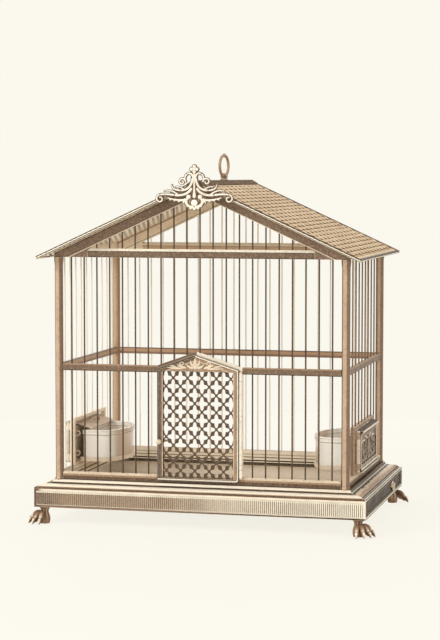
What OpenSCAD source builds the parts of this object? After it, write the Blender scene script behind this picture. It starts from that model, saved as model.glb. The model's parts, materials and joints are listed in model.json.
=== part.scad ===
// House-shaped brass bird cage on four claw feet.
// It has a gabled roof, a pierced front door, a swing-out feeder at each end and a sand tray.
// X runs along the front, the front faces -Y, Z is up, and Z = 0 is the floor under the feet.

/* [Base] */
// Width of the base
base_w = 350; // [330:1:400]
// Depth of the base
base_d = 236; // [220:1:270]
// Height of the feet under the base
foot_h = 18; // [16:0.5:22]
// Height of the upright face of the base
face_h = 19.5; // [18.5:0.5:24]
// Height of the stepped moulding above that face
step_h = 8.5; // [7:0.5:11]
// Width of the stepped moulding along the front
step_w = 12.5; // [11:0.5:13]
// Gauge of the base's sheet metal
base_t = 1.2; // [0.8:0.1:1.6]
// Distance between two reeds on the base
reed_pitch = 2.1; // [1.8:0.1:3]
// Plain border left around each reeded band
reed_border = 2.6; // [2:0.1:4]

/* [Claw feet] */
// Inset of a foot's ankle from the corner of the base
foot_inset = 9; // [8:0.5:12]
// Reach of the toes from the ankle
toe_reach = 20; // [16:0.5:22]
// Radius of the ankle at the base
ankle_r = 6; // [5:0.25:7]
// Radius of the threaded stud on top of a foot
stud_r = 1.5; // [1.25:0.05:1.75]

/* [Walls] */
// Distance from the base's ends to the posts
inset_x = 23.5; // [20:0.5:28]
// Distance from the base's front and back to the posts
inset_y = 16; // [15:0.5:20]
// Height of the walls from the base to the eaves
wall_h = 232.3; // [215:0.1:260]
// Diameter of a corner post
post_dia = 8.5; // [7.5:0.5:9.5]
// Thickness of the rails
rail_t = 5; // [4:0.5:6]
// Height of the bottom rails
sill_h = 8.5; // [7:0.5:10]
// Height of the middle rails
mid_h = 7; // [6:0.5:9]
// Height of the middle rails' underside above the base
mid_rise = 114.5; // [110:0.5:130]
// Height of the tie beam across each gable
tie_h = 9.1; // [8:0.1:12]

/* [Wires] */
// Diameter of a wire
wire_dia = 1.6; // [1.2:0.1:2]
// Number of gaps between wires along the front
front_gaps = 22; // [20:2:24]
// Number of gaps between wires along a side
side_gaps = 11; // [9:2:13]
// Depth of the socket that a wire ends in
socket_h = 3; // [2:0.5:3.5]

/* [Roof] */
// Overhang of the eaves beyond the posts' middle
eave_out = 18.5; // [15:0.5:23]
// Overhang of the roof at the front and back
verge_out = 21; // [17:0.5:25]
// Height of the ridge above the eaves
roof_rise = 78; // [70:1:90]
// Gauge of the roof sheet
roof_t = 1.2; // [0.8:0.1:1.6]
// Depth of a rafter, with the sheet on it
rafter_drop = 14; // [12:0.5:18]
// Diameter of the rolled edge of the roof
roll_dia = 3.6; // [3:0.2:4.4]
// Reach of the ridge cap down each slope
cap_reach = 9; // [7:0.5:12]
// Width of the crest on the front gable
crest_w = 81; // [70:1:90]
// Thickness of the crest
crest_t = 2; // [1.5:0.1:3]

/* [Front door] */
// Width of the door leaf
door_w = 86; // [82:1:92]
// Height of the door leaf up to its shoulders
door_h = 115.5; // [108:0.5:130]
// Height of the door's gable above its shoulders
door_rise = 14.4; // [10:0.2:18]
// Shift of the door's peak to the left
peak_shift = 4; // [0:0.5:6]
// Thickness of the door frame
door_t = 2.4; // [2.2:0.1:3.2]
// Width of the door's stiles
stile_w = 5.6; // [5.4:0.1:7]
// Lap of the door over the bottom rail
door_lap = 5; // [3:0.5:6]
// Width of the surround's jambs
jamb_w = 4.8; // [4.4:0.1:5.6]
// Distance between two openings of the grille, sideways
cross_w = 15.2; // [13:0.1:17]
// Distance between two openings of the grille, upwards
cross_h = 17.4; // [15:0.1:19]
// Gauge of the grille
grille_t = 1; // [0.8:0.1:1.2]
// Radius of the door knob
knob_r = 2.7; // [2.2:0.1:3.2]
// Height of the knob above the foot of the door
knob_rise = 40; // [18:1:60]

/* [Feeders] */
// Width of a feeder's flap
flap_w = 100; // [96:1:104]
// Height of a feeder's flap
flap_h = 42.5; // [40:0.5:46]
// Shift of the feeders towards the front
feeder_shift = 5.3; // [4:0.1:9]
// How far the flap's box stands out
flap_t = 4.5; // [3.5:0.25:5.5]
// Width of the cup
cup_w = 86; // [78:1:87]
// Depth of the cup, from the wall inwards
cup_depth = 44; // [38:0.5:46]
// Height of the cup
cup_h = 32.5; // [28:0.5:33]
// Thickness of the cup's wall
cup_wall = 2.6; // [2:0.1:3.4]

/* [Sand tray] */
// Height of the tray's walls
tray_h = 13.8; // [12:0.1:14]
// Gauge of the tray
tray_t = 0.8; // [0.6:0.1:1.2]
// Height of the runners' ledges
runner_h = 2.6; // [2.4:0.1:3]

/* [Carrying ring] */
// Radius of the ring, to the middle of its wire
ring_r = 11.2; // [10:0.2:16]
// Diameter of the ring's wire
ring_wire = 3; // [2.4:0.1:3.2]
// Turn of the ring's eye away from the ridge
eye_turn = 10; // [0:1:10]

/* [Clearances] */
// Gap between pieces that slide or swing past each other
play = 0.3; // [0.25:0.05:0.4]
// Gap around a pin in its knuckles
pin_gap = 0.05; // [0.02:0.01:0.1]
// Gap around a wire or post in its seat
seat_gap = 0.05; // [0.02:0.01:0.1]

/* [Hidden] */

$fn = 48;

brass = "#b88a52";
dark_brass = "#6b4a36";
pale_brass = "#e6d3a8";
copper = "#a5714c";
opal = "#f4f0e4";
zinc = "#b9b4a6";

// Heights of the levels
base_z = foot_h;
deck_z = base_z + face_h + step_h;
eave_z = deck_z + wall_h;
ridge_z = eave_z + roof_rise;
mid_z = deck_z + mid_rise;
sill_top = deck_z + sill_h;

// Planes of the walls, through the middle of the posts
span_w = base_w - 2 * inset_x;
span_d = base_d - 2 * inset_y;
wall_x = span_w / 2;
wall_y = span_d / 2;
post_r = post_dia / 2;
collar_r = post_r + 0.65;
wire_r = wire_dia / 2;
face_y = wall_y + rail_t / 2;
face_x = wall_x + rail_t / 2;

// Roof lines: height of the roof's top, its underside and the rafters' underside at a place x
roof_w = span_w + 2 * eave_out;
roof_d = span_d + 2 * verge_out;
slope = roof_rise / (roof_w / 2);
pitch = atan(slope);
sheet_v = roof_t / cos(pitch);
tie_top = eave_z + tie_h;
tie_x = (roof_rise - rafter_drop - tie_h) / slope;
heel_x = wall_x + post_r;
function roof_top(x) = ridge_z - slope * abs(x);
function roof_under(x) = roof_top(x) - sheet_v - seat_gap;
function rafter_under(x) = abs(x) < tie_x ? ridge_z - rafter_drop - slope * abs(x) : eave_z;

// Door places: the leaf hangs in front of its surround, on a pin at its right edge
surround_x = door_w / 2 + 2;
jamb_x = surround_x - jamb_w;
leaf_right = surround_x - 3.2;
leaf_left = leaf_right - door_w;
window_left = leaf_left + stile_w;
window_right = leaf_right - stile_w;
leaf_foot = sill_top - door_lap;
leaf_shoulder = leaf_foot + door_h;
leaf_peak = leaf_shoulder + door_rise;
window_low = leaf_foot + 3;
window_high = leaf_shoulder - 2.2;
peak_x = -peak_shift;
rise_left = door_rise / (peak_x - leaf_left);
rise_right = door_rise / (leaf_right - peak_x);
slant = norm([1, rise_left]);
header_up = 3.2;
header_down = 2.7;
function door_line(x) = leaf_peak - (x < peak_x ? rise_left * (peak_x - x) : rise_right * (x - peak_x));
leaf_back = -face_y - play;
leaf_front = leaf_back - door_t;
knuckle_r = 1.8;
door_pin_r = 0.8;
door_pin_x = leaf_right + knuckle_r + 0.4;
door_pin_y = -face_y - play - knuckle_r;
knuckle_low = sill_top;
corner_r = 4;
knuckle_h = 8;
knuckle_high = leaf_shoulder - 3;
latch_x = leaf_left + stile_w / 2;
latch_z = leaf_foot + knob_rise;
spindle_r = 1.1;
tongue_len = 6;
tongue_t = 1.2;
bead_w = 1.6;
bead_h = 0.7;

// Feeder places on the right-hand side; the left-hand one is its mirror image
flap_front = -feeder_shift - flap_w / 2;
flap_back = -feeder_shift + flap_w / 2;
flap_foot = sill_top + 3.5;
flap_top = flap_foot + flap_h;
flap_in = face_x + play;
flap_out = flap_in + flap_t;
barrel_r = 2.2;
feeder_pin_r = 1;
feeder_pin_x = face_x + play + barrel_r;
feeder_pin_y = flap_front - barrel_r - 0.5;
rod_r = 1.3;
rod_x = face_x + 2.9;
rod_y = flap_back + 4.5;
open_front = flap_front - 1;
open_back = flap_back + 2;
front_bar = 4;
back_bar = 5;
frame_front = open_front - front_bar;
frame_back = open_back + back_bar;
header_bar = 3.2;
open_low = sill_top + 2;
open_high = flap_top + 0.5;
frame_top = open_high + header_bar;
cup_front = flap_front + 7;
cup_foot = open_low + 2;
cup_flat = face_x - 8.5;
cup_bow = 10;
cup_corner = 11;

// Tray places
tray_y = base_d / 2 - 8;
tray_foot = base_z + base_t + runner_h + 0.2;
tray_left = -base_w / 2 + 12;
tray_right = base_w / 2 - 3;
slot_y = tray_y + play;
slot_low = base_z + 2.5;
slot_high = tray_foot + tray_h + 0.8;

// Ridge and carrying ring
cap_t = 1.4;
cap_flat = 2.4;
cap_top = ridge_z + cap_t;
saddle_t = 1.2;
eye_r = 1.9;
eye_wall = 1.8;
eye_z = cap_top + saddle_t + eye_r + 0.7;

// A box that is centred on x and stands between two places in y and z
module bar_x(x0, x1, y0, y1, z0, z1) {
    translate([x0, y0, z0]) cube([x1 - x0, y1 - y0, z1 - z0]);
}

// Carries a profile drawn in X and Z along Y, centred on y = 0
module along_y(length) {
    translate([0, length / 2, 0]) rotate([90, 0, 0]) linear_extrude(height = length) children();
}

// Carries a profile drawn in Y and Z along X, centred on x = 0
module along_x(length) {
    translate([-length / 2, 0, 0]) rotate([90, 0, 90]) linear_extrude(height = length) children();
}

function reversed(list) = [for (i = [len(list) - 1:-1:0]) list[i]];

// Base

// Stepped moulding, in shares of its width and height: edge bead, groove, reeded swell, fillet, cove
moulding = concat(
    [for (a = [0:30:90]) [0.05 * (1 - cos(a)), 0.16 * sin(a)]],
    [[0.10, 0.16], [0.12, 0.10], [0.17, 0.10]],
    [for (a = [0:18:90]) [0.17 + 0.33 * (1 - cos(a)), 0.10 + 0.42 * sin(a)]],
    [[0.58, 0.52], [0.60, 0.56]],
    [for (a = [0:18:90]) [0.60 + 0.34 * sin(a), 0.56 + 0.34 * (1 - cos(a))]],
    [[0.94, 1.00]]
);
lip_in = inset_y + rail_t / 2 + 1;
lip_h = 5;
end_share = inset_x / inset_y;

// Section of the base's sides: a folded sheet, drawn inwards from its upright face, share times as wide
function side_section(share) = let (
    outer = [for (p = moulding) [p[0] * step_w * share, face_h + p[1] * step_h]],
    inner = [for (p = outer) [p[0] + 0.8 * base_t, p[1] - 0.8 * base_t]],
    top = face_h + step_h,
    lip = lip_in * share
) concat(
    [[0, 0]], outer, [[lip, top], [lip, top - lip_h], [lip - base_t, top - lip_h]],
    [[lip - base_t, top - base_t]], reversed(inner), [[base_t, 0]]
);

// One side of the base, along X, mitred at both ends to meet sides of the other share
module plinth_side(length, share) {
    reach = lip_in + 2;
    half = length / 2;
    ends = reach * (share == 1 ? end_share : 1);
    intersection() {
        translate([-half, 0, 0])
            rotate([90, 0, 90])
            linear_extrude(height = length)
            polygon(side_section(share));
        translate([0, 0, -1]) linear_extrude(height = face_h + step_h + 2)
            polygon([[-half, 0], [half, 0], [half - ends, reach * share], [-half + ends, reach * share]]);
    }
}

module plinth_front() {
    color(pale_brass) translate([0, -base_d / 2, base_z]) plinth_side(base_w, 1);
}

module plinth_back() {
    color(pale_brass) rotate([0, 0, 180]) translate([0, -base_d / 2, base_z]) plinth_side(base_w, 1);
}

module plinth_left() {
    color(pale_brass) rotate([0, 0, -90]) translate([0, -base_w / 2, base_z]) plinth_side(base_d, end_share);
}

// The right-hand side has the slot that the sand tray slides through
module plinth_right() {
    color(pale_brass) difference() {
        rotate([0, 0, 90]) translate([0, -base_w / 2, base_z]) plinth_side(base_d, end_share);
        bar_x(base_w / 2 - 4, base_w / 2 + 4, -slot_y, slot_y, slot_low, slot_high);
    }
}

// A strip of upright reeds, along X, whose flat back lies on the base's face
module reeded_band(length) {
    count = floor((length - 1.5 * reed_border) / reed_pitch);
    half = count * reed_pitch / 2;
    reeds = [for (i = [0:count - 1], s = [[0, 0.25], [0.25, 0.75], [0.75, 0.75]])
        [-half + (i + s[0]) * reed_pitch, -s[1]]];
    linear_extrude(height = face_h - 2 * reed_border)
        polygon(concat([[-half, 0]], reeds, [[half, -0.25], [half, 0]]));
}

module reeded_bands() {
    lift = base_z + reed_border;
    color(copper) {
        translate([0, -base_d / 2, lift]) reeded_band(base_w);
        rotate([0, 0, 180]) translate([0, -base_d / 2, lift]) reeded_band(base_w);
        rotate([0, 0, -90]) translate([0, -base_w / 2, lift]) reeded_band(base_d);
    }
}

// Sheet that closes the base, with the two runners that the tray slides on
module base_plate() {
    half_w = base_w / 2 - base_t - seat_gap;
    half_d = base_d / 2 - base_t - seat_gap;
    guide = tray_y + play;
    ledge_w = 4;
    guide_h = 8;
    run = base_w - 36;
    color(zinc) difference() {
        union() {
            bar_x(-half_w, half_w, -half_d, half_d, base_z, base_z + base_t);
            for (s = [-1, 1])
                along_x(run) polygon([
                    [s * (guide - ledge_w), base_z], [s * (guide + base_t), base_z],
                    [s * (guide + base_t), base_z + base_t + guide_h],
                    [s * guide, base_z + base_t + guide_h],
                    [s * guide, base_z + base_t + runner_h],
                    [s * (guide - ledge_w), base_z + base_t + runner_h]
                ]);
        }
        at_feet() cylinder(r = stud_r + 0.15, h = 3 * base_t, center = true);
    }
}

// Places its children over each of the four feet, on top of the feet
module at_feet() {
    for (sx = [-1, 1], sy = [-1, 1])
        translate([sx * (base_w / 2 - foot_inset), sy * (base_d / 2 - foot_inset), base_z])
            children();
}

// A claw foot under the corner (sx, sy): a turned ankle with a stud, and four toes spread outwards
module claw_foot(sx, sy) {
    toe_angles = [-46, -15, 15, 46];
    stud_top = foot_h + base_t + 2.4;
    color(brass)
        translate([sx * (base_w / 2 - foot_inset), sy * (base_d / 2 - foot_inset), 0])
        rotate([0, 0, atan2(sy, sx)]) {
            rotate_extrude() polygon([
                [0, 0], [ankle_r - 0.6, 0], [ankle_r - 0.2, 3], [ankle_r - 1.2, foot_h * 0.45],
                [ankle_r - 1.6, foot_h - 5], [ankle_r - 0.8, foot_h - 3], [ankle_r, foot_h - 2.4],
                [ankle_r, foot_h], [stud_r, foot_h], [stud_r, stud_top], [0, stud_top]
            ]);
            for (a = toe_angles) rotate([0, 0, a]) hull() {
                translate([2.3, 0, foot_h * 0.53]) sphere(r = 2.9, $fn = 11);
                translate([toe_reach * 0.62, 0, 5.2]) sphere(r = 3.3, $fn = 11);
                translate([toe_reach - 1.8, 0, 0]) cylinder(r1 = 1.8, r2 = 0.8, h = 3, $fn = 11);
            }
        }
}

module foot_front_left() { claw_foot(-1, -1); }
module foot_front_right() { claw_foot(1, -1); }
module foot_back_left() { claw_foot(-1, 1); }
module foot_back_right() { claw_foot(1, 1); }

// Hexagonal nuts that hold the feet, inside the base
module foot_nuts() {
    color(brass) at_feet() translate([0, 0, base_t]) difference() {
        cylinder(r = 3.2, h = 2.2, $fn = 6);
        translate([0, 0, -1]) cylinder(r = stud_r + pin_gap, h = 5);
    }
}

// Walls

// A corner post: a plain rod with a collar at its foot and a flared top
module post(sx, sy) {
    color(copper) translate([sx * wall_x, sy * wall_y, deck_z])
        rotate_extrude() polygon([
            [0, 0], [collar_r, 0], [collar_r, 1.6], [post_r, 2.8],
            [post_r, wall_h - 9], [collar_r, wall_h - 2.5], [collar_r, wall_h], [0, wall_h]
        ]);
}

module post_front_left() { post(-1, -1); }
module post_front_right() { post(1, -1); }
module post_back_left() { post(-1, 1); }
module post_back_right() { post(1, 1); }

// Section of a rail with its long edges eased, centred on its thickness
function rail_section(h) = let (t = rail_t / 2, e = 0.9) [
    [-t + e, 0], [t - e, 0], [t, e], [t, h - e], [t - e, h], [-t + e, h], [-t, h - e], [-t, e]
];

// The four posts, a little oversize, for cutting the rails' hollowed ends
module post_seats(z0, z1) {
    for (sx = [-1, 1], sy = [-1, 1])
        translate([sx * wall_x, sy * wall_y, z0]) cylinder(r = collar_r + seat_gap, h = z1 - z0);
}

// Places of the wires along the front and along a side
front_pitch = span_w / front_gaps;
side_pitch = span_d / side_gaps;
front_wires = [for (k = [1:front_gaps - 1]) (k - front_gaps / 2) * front_pitch];
side_wires = [for (k = [1:side_gaps - 1]) (k - side_gaps / 2) * side_pitch];
function over_door(x) = abs(x) < surround_x;
function over_feeder(y) = y > frame_front - wire_dia && y < frame_back + wire_dia;
function header_top(x) = door_line(x) + header_up;
function front_foot(x, front) = front && over_door(x) ? header_top(x) : sill_top;
function side_foot(y) = over_feeder(y) ? frame_top + socket_h - header_bar + 1 : sill_top;

// Upright holes for the wires of the front or back wall, between two heights
module front_holes(sy, z0, z1, list) {
    for (x = list)
        translate([x, sy * wall_y, z0]) cylinder(r = wire_r + seat_gap, h = z1 - z0, $fn = 16);
}

module side_holes(sx, z0, z1, list) {
    for (y = list)
        translate([sx * wall_x, y, z0]) cylinder(r = wire_r + seat_gap, h = z1 - z0, $fn = 16);
}

module long_rail(sy, z, h) {
    difference() {
        translate([0, sy * wall_y, z]) along_x(span_w) polygon(rail_section(h));
        post_seats(z - 1, z + h + 1);
        children();
    }
}

module short_rail(sx, z, h) {
    difference() {
        translate([sx * wall_x, 0, z]) along_y(span_d) polygon(rail_section(h));
        post_seats(z - 1, z + h + 1);
        children();
    }
}

module bottom_rail_front() {
    color(dark_brass) long_rail(-1, deck_z, sill_h)
        front_holes(-1, sill_top - socket_h, sill_top + 1, [for (x = front_wires) if (!over_door(x)) x]);
}

module bottom_rail_back() {
    color(dark_brass) long_rail(1, deck_z, sill_h)
        front_holes(1, sill_top - socket_h, sill_top + 1, front_wires);
}

module bottom_rail_left() {
    color(dark_brass) short_rail(-1, deck_z, sill_h)
        side_holes(-1, sill_top - socket_h, sill_top + 1, [for (y = side_wires) if (!over_feeder(y)) y]);
}

module bottom_rail_right() {
    color(dark_brass) short_rail(1, deck_z, sill_h)
        side_holes(1, sill_top - socket_h, sill_top + 1, [for (y = side_wires) if (!over_feeder(y)) y]);
}

// The front's middle rail is in two lengths, one on each side of the door's surround
module mid_rail_front() {
    gap = surround_x + seat_gap;
    color(dark_brass) long_rail(-1, mid_z, mid_h) {
        front_holes(-1, mid_z - 1, mid_z + mid_h + 1, [for (x = front_wires) if (!over_door(x)) x]);
        bar_x(-gap, gap, -face_y - 1, -wall_y + rail_t, mid_z - 1, mid_z + mid_h + 1);
    }
}

module mid_rail_back() {
    color(dark_brass) long_rail(1, mid_z, mid_h)
        front_holes(1, mid_z - 1, mid_z + mid_h + 1, front_wires);
}

module mid_rail_left() {
    color(dark_brass) short_rail(-1, mid_z, mid_h)
        side_holes(-1, mid_z - 1, mid_z + mid_h + 1, side_wires);
}

module mid_rail_right() {
    color(dark_brass) short_rail(1, mid_z, mid_h)
        side_holes(1, mid_z - 1, mid_z + mid_h + 1, side_wires);
}

// Wires stand in sockets, pass through the middle rail and tie beam, and end in the rafters
module front_wall_wires(sy) {
    for (x = front_wires) {
        z0 = front_foot(x, sy < 0) - socket_h + seat_gap;
        z1 = rafter_under(x) + socket_h - seat_gap;
        translate([x, sy * wall_y, z0]) cylinder(r = wire_r, h = z1 - z0, $fn = 16);
    }
}

module side_wall_wires(sx) {
    for (y = side_wires) {
        z0 = side_foot(y) - socket_h + seat_gap;
        z1 = eave_z + socket_h - seat_gap;
        translate([sx * wall_x, y, z0]) cylinder(r = wire_r, h = z1 - z0, $fn = 16);
    }
}

module wires_front() { color(dark_brass) front_wall_wires(-1); }
module wires_back() { color(dark_brass) front_wall_wires(1); }
module wires_left() { color(dark_brass) side_wall_wires(-1); }
module wires_right() { color(dark_brass) side_wall_wires(1); }

// The tie beam lies between the feet of the rafters, with a bevelled top
module tie_beam(sy) {
    t = rail_t / 2;
    bevel = 2.6;
    color(dark_brass) difference() {
        translate([0, sy * wall_y, eave_z]) along_x(2 * (tie_x - seat_gap)) polygon([
            [-t, 0], [t, 0], [t, tie_h - bevel], [t - 1.6, tie_h], [-t + 1.6, tie_h],
            [-t, tie_h - bevel]
        ]);
        front_holes(sy, eave_z - 1, tie_top + 1, [for (x = front_wires) if (abs(x) < tie_x) x]);
    }
}

module tie_beam_front() { tie_beam(-1); }
module tie_beam_back() { tie_beam(1); }

// The eave rail fills the space between the posts' tops and the sloping sheet
module eave_rail(sx) {
    t = rail_t / 2;
    color(dark_brass) difference() {
        along_y(2 * (wall_y - rail_t / 2 - seat_gap)) polygon([
            [sx * (wall_x - t), eave_z], [sx * (wall_x + t), eave_z],
            [sx * (wall_x + t), roof_under(wall_x + t)], [sx * (wall_x - t), roof_under(wall_x - t)]
        ]);
        side_holes(sx, eave_z - 1, eave_z + socket_h, side_wires);
    }
}

module eave_rail_left() { eave_rail(-1); }
module eave_rail_right() { eave_rail(1); }

// Roof

// One gable's pair of rafters, each with a level heel on its post
module rafters(sy) {
    color(dark_brass) for (sx = [-1, 1]) difference() {
        translate([0, sy * wall_y, 0]) along_y(rail_t) polygon([
            [sx * seat_gap, roof_under(seat_gap)], [sx * heel_x, roof_under(heel_x)],
            [sx * heel_x, eave_z], [sx * tie_x, eave_z], [sx * tie_x, tie_top],
            [sx * seat_gap, ridge_z - rafter_drop]
        ]);
        for (x = front_wires) if (x * sx > -1)
            translate([x, sy * wall_y, eave_z - 1])
                cylinder(r = wire_r + seat_gap, h = rafter_under(x) + socket_h - eave_z + 1, $fn = 16);
    }
}

module rafters_front() { rafters(-1); }
module rafters_back() { rafters(1); }

// The right-hand slope of the roof: a sheet with a rolled edge on its three free sides
module roof_slope() {
    roll_r = roll_dia / 2;
    edge_x = roof_w / 2 - roll_r;
    edge_y = roof_d / 2 - roll_r;
    start_x = cap_reach + 0.4;
    mid = -sheet_v / 2;
    run = (edge_x - start_x) / cos(pitch);
    along_y(roof_d - 2 * roll_r) polygon([
        [seat_gap, roof_top(seat_gap)], [edge_x, roof_top(edge_x)],
        [edge_x, roof_top(edge_x) - sheet_v], [seat_gap, roof_top(seat_gap) - sheet_v]
    ]);
    for (sy = [-1, 1]) {
        translate([start_x, sy * edge_y, roof_top(start_x) + mid])
            rotate([0, 90 + pitch, 0]) cylinder(r = roll_r, h = run);
        translate([edge_x, sy * edge_y, roof_top(edge_x) + mid]) sphere(r = roll_r + 0.2);
    }
    translate([edge_x, edge_y, roof_top(edge_x) + mid])
        rotate([90, 0, 0]) cylinder(r = roll_r, h = 2 * edge_y);
}

module roof_left() { color(brass) mirror([1, 0, 0]) roof_slope(); }
module roof_right() { color(brass) roof_slope(); }

// The cap over the ridge follows both slopes and has a narrow flat top
module ridge_cap() {
    lift = 0.05;
    over = cap_t / cos(pitch);
    color(dark_brass) along_y(roof_d) polygon([
        [-cap_reach, roof_top(cap_reach) + lift], [0, ridge_z + lift],
        [cap_reach, roof_top(cap_reach) + lift], [cap_reach, roof_top(cap_reach) + over],
        [cap_flat, cap_top], [-cap_flat, cap_top], [-cap_reach, roof_top(cap_reach) + over]
    ]);
}

// Ornament of the crest

// Points of a spiral that starts at radius r0 and angle a0, and turns while its radius changes
function spiral(cx, cz, r0, r1, a0, turn, n = 14) = [
    for (i = [0:n]) let (t = i / n, r = r0 + (r1 - r0) * t, a = a0 + turn * t)
        [cx + r * cos(a), cz + r * sin(a)]
];

// Points of a smooth curve through a start, a pull point and an end
function curve(a, b, c, n = 10) = [
    for (i = [0:n]) let (t = i / n) (1 - t) * (1 - t) * a + 2 * t * (1 - t) * b + t * t * c
];

// A stroke along a path, as wide as w0 at its start and w1 at its end
module stroke(path, w0, w1) {
    n = len(path) - 1;
    sides = [for (i = [0:n]) let (
        ahead = path[min(i + 1, n)] - path[max(i - 1, 0)],
        normal = [-ahead[1], ahead[0]] / norm(ahead),
        w = (w0 + (w1 - w0) * i / n) / 2
    ) [path[i] + normal * w, path[i] - normal * w]];
    polygon(concat([for (s = sides) s[0]], reversed([for (s = sides) s[1]])));
}

// Strokes of the crest's right half, drawn 78 wide about the gable's peak
module crest_half() {
    // Upper leaf and its eye
    stroke(curve([0.6, 3], [2.5, 10], [7, 7.4]), 3.2, 2.4);
    stroke(curve([7, 7.4], [10, 5.6], [9.2, 1]), 2.4, 1.8);
    stroke(spiral(12.2, 0, 3.6, 1.2, 190, -400), 2.3, 1.7);
    // Middle arm, which turns up at its end
    stroke(curve([1.5, 4], [2.6, -8.6], [14, -8.4]), 3.4, 2.7);
    stroke(curve([14, -8.4], [22.5, -8.2], [22.6, -2.6]), 2.7, 1.1);
    stroke(curve([9, -8.2], [16, -3.6], [19, -5.2]), 2, 1.1);
    // Outer arm, which ends in a scroll
    stroke(curve([2.4, -6], [7, -14.5], [20, -13]), 3.6, 2.9);
    stroke(curve([20, -13], [28, -11.6], [34.4, -12.6]), 2.9, 2.4);
    stroke(spiral(34.4, -16.6, 4, 1.3, 90, -400), 2.3, 1.7);
    stroke(curve([16, -12.6], [24, -6.8], [30.5, -9.2]), 2.2, 1.1);
    // Lower leaf with pointed lobes
    stroke(curve([6, -17], [15, -19.5], [27.5, -15.4]), 4, 1.3);
    for (k = [0:3]) translate([9.5 + 4.6 * k, -18.2 + 0.5 * k]) rotate(-52 + 6 * k)
        polygon([[-1.4, -1.7], [3.2 - 0.5 * k, -0.7], [4 - 0.5 * k, 0.1], [3.2 - 0.5 * k, 0.8], [-1.4, 1.9]]);
    // Roundel and the scalloped cup
    translate([5.8, -14.8]) circle(r = 2.8, $fn = 20);
    stroke(curve([0, -25], [8.4, -24.6], [9.6, -16]), 4.2, 3);
    for (a = [-90, -64, -38, -12])
        translate([0, -18.2]) rotate(a) translate([8.2, 0]) circle(r = 1.8, $fn = 12);
}

// The crest's outline: its two halves, the stem between them and the flower on top
module crest_plan() {
    offset(r = 0.3, $fn = 8) {
        crest_half();
        mirror([1, 0]) crest_half();
        translate([0, -20.6]) circle(r = 4, $fn = 24);
        polygon([
            [-4.4, -17], [4.4, -17], [2, -8], [1.4, -2], [1.9, 3], [1.3, 9],
            [-1.3, 9], [-1.9, 3], [-1.4, -2], [-2, -8]
        ]);
        for (a = [0:90:270]) translate([2.5 * cos(a), 12 + 2.5 * sin(a)]) circle(r = 2.2, $fn = 16);
        translate([0, 12]) circle(r = 2, $fn = 16);
    }
}

// Pierced and cast crest that stands on the front of the gable
module gable_crest() {
    grown = crest_w / 78;
    bosses = [[-5.8, -14.8, 1.7], [5.8, -14.8, 1.7], [0, -20.6, 2.6], [0, 12, 1.5]];
    color(pale_brass) translate([0, -roof_d / 2 - 0.05, ridge_z]) rotate([90, 0, 0]) {
        linear_extrude(height = crest_t) scale(grown) crest_plan();
        for (p = bosses)
            translate([p[0] * grown, p[1] * grown, crest_t - 0.5])
                cylinder(r = p[2] * grown, h = 1.3, $fn = 24);
    }
}

// Carrying ring

module ring_saddle() {
    length = 15;
    rivet_y = length / 2 - 2.2;
    color(brass) {
        bar_x(-cap_flat, cap_flat, -length / 2, length / 2, cap_top, cap_top + saddle_t);
        for (s = [-1, 1]) translate([0, s * rivet_y, cap_top]) cylinder(r = 1.5, h = saddle_t + 0.8);
        translate([0, 0, cap_top]) rotate([0, 0, -eye_turn]) difference() {
            union() {
                bar_x(-cap_flat + 0.4, cap_flat - 0.4, -1.3, 1.3, saddle_t - 0.4, eye_z - cap_top);
                translate([0, 1.3, eye_z - cap_top]) rotate([90, 0, 0])
                    cylinder(r = eye_r + eye_wall, h = 2.6);
            }
            translate([0, 5, eye_z - cap_top]) rotate([90, 0, 0]) cylinder(r = eye_r, h = 10);
        }
    }
}

// The ring stands upright in the eye, with a small bead at its top
module carrying_ring() {
    color(brass) translate([0, 0, eye_z + ring_r]) rotate([0, 0, -eye_turn]) {
        rotate([0, 90, 0]) rotate_extrude() translate([ring_r, 0]) circle(r = ring_wire / 2);
        translate([0, 0, ring_r]) sphere(r = ring_wire / 2 + 0.7);
    }
}

// Front door

// Outline of the leaf, drawn in by a margin: a low gable over a box with one rounded corner
function leaf_outline(m) = let (
    left = leaf_left + m,
    right = leaf_right - m,
    low = leaf_foot + m,
    drop = m * slant,
    r = corner_r - m
) concat(
    [[left, low], [right - r, low]],
    [for (a = [-72:18:-18]) [right - r + r * cos(a), low + r + r * sin(a)]],
    [[right, low + r], [right, door_line(right) - drop], [peak_x, leaf_peak - drop]],
    [[left, door_line(left) - drop]]
);

// A flat piece drawn in X and Z, between two places in y
module upright_sheet(y_front, y_back) {
    translate([0, y_back, 0]) rotate([90, 0, 0]) linear_extrude(height = y_back - y_front) children();
}

// A hinge barrel of the door, with its bore
module door_barrel(z0, z1) {
    translate([door_pin_x, door_pin_y, z0]) difference() {
        cylinder(r = knuckle_r, h = z1 - z0);
        translate([0, 0, -1]) cylinder(r = door_pin_r + pin_gap, h = z1 - z0 + 2);
    }
}

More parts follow.
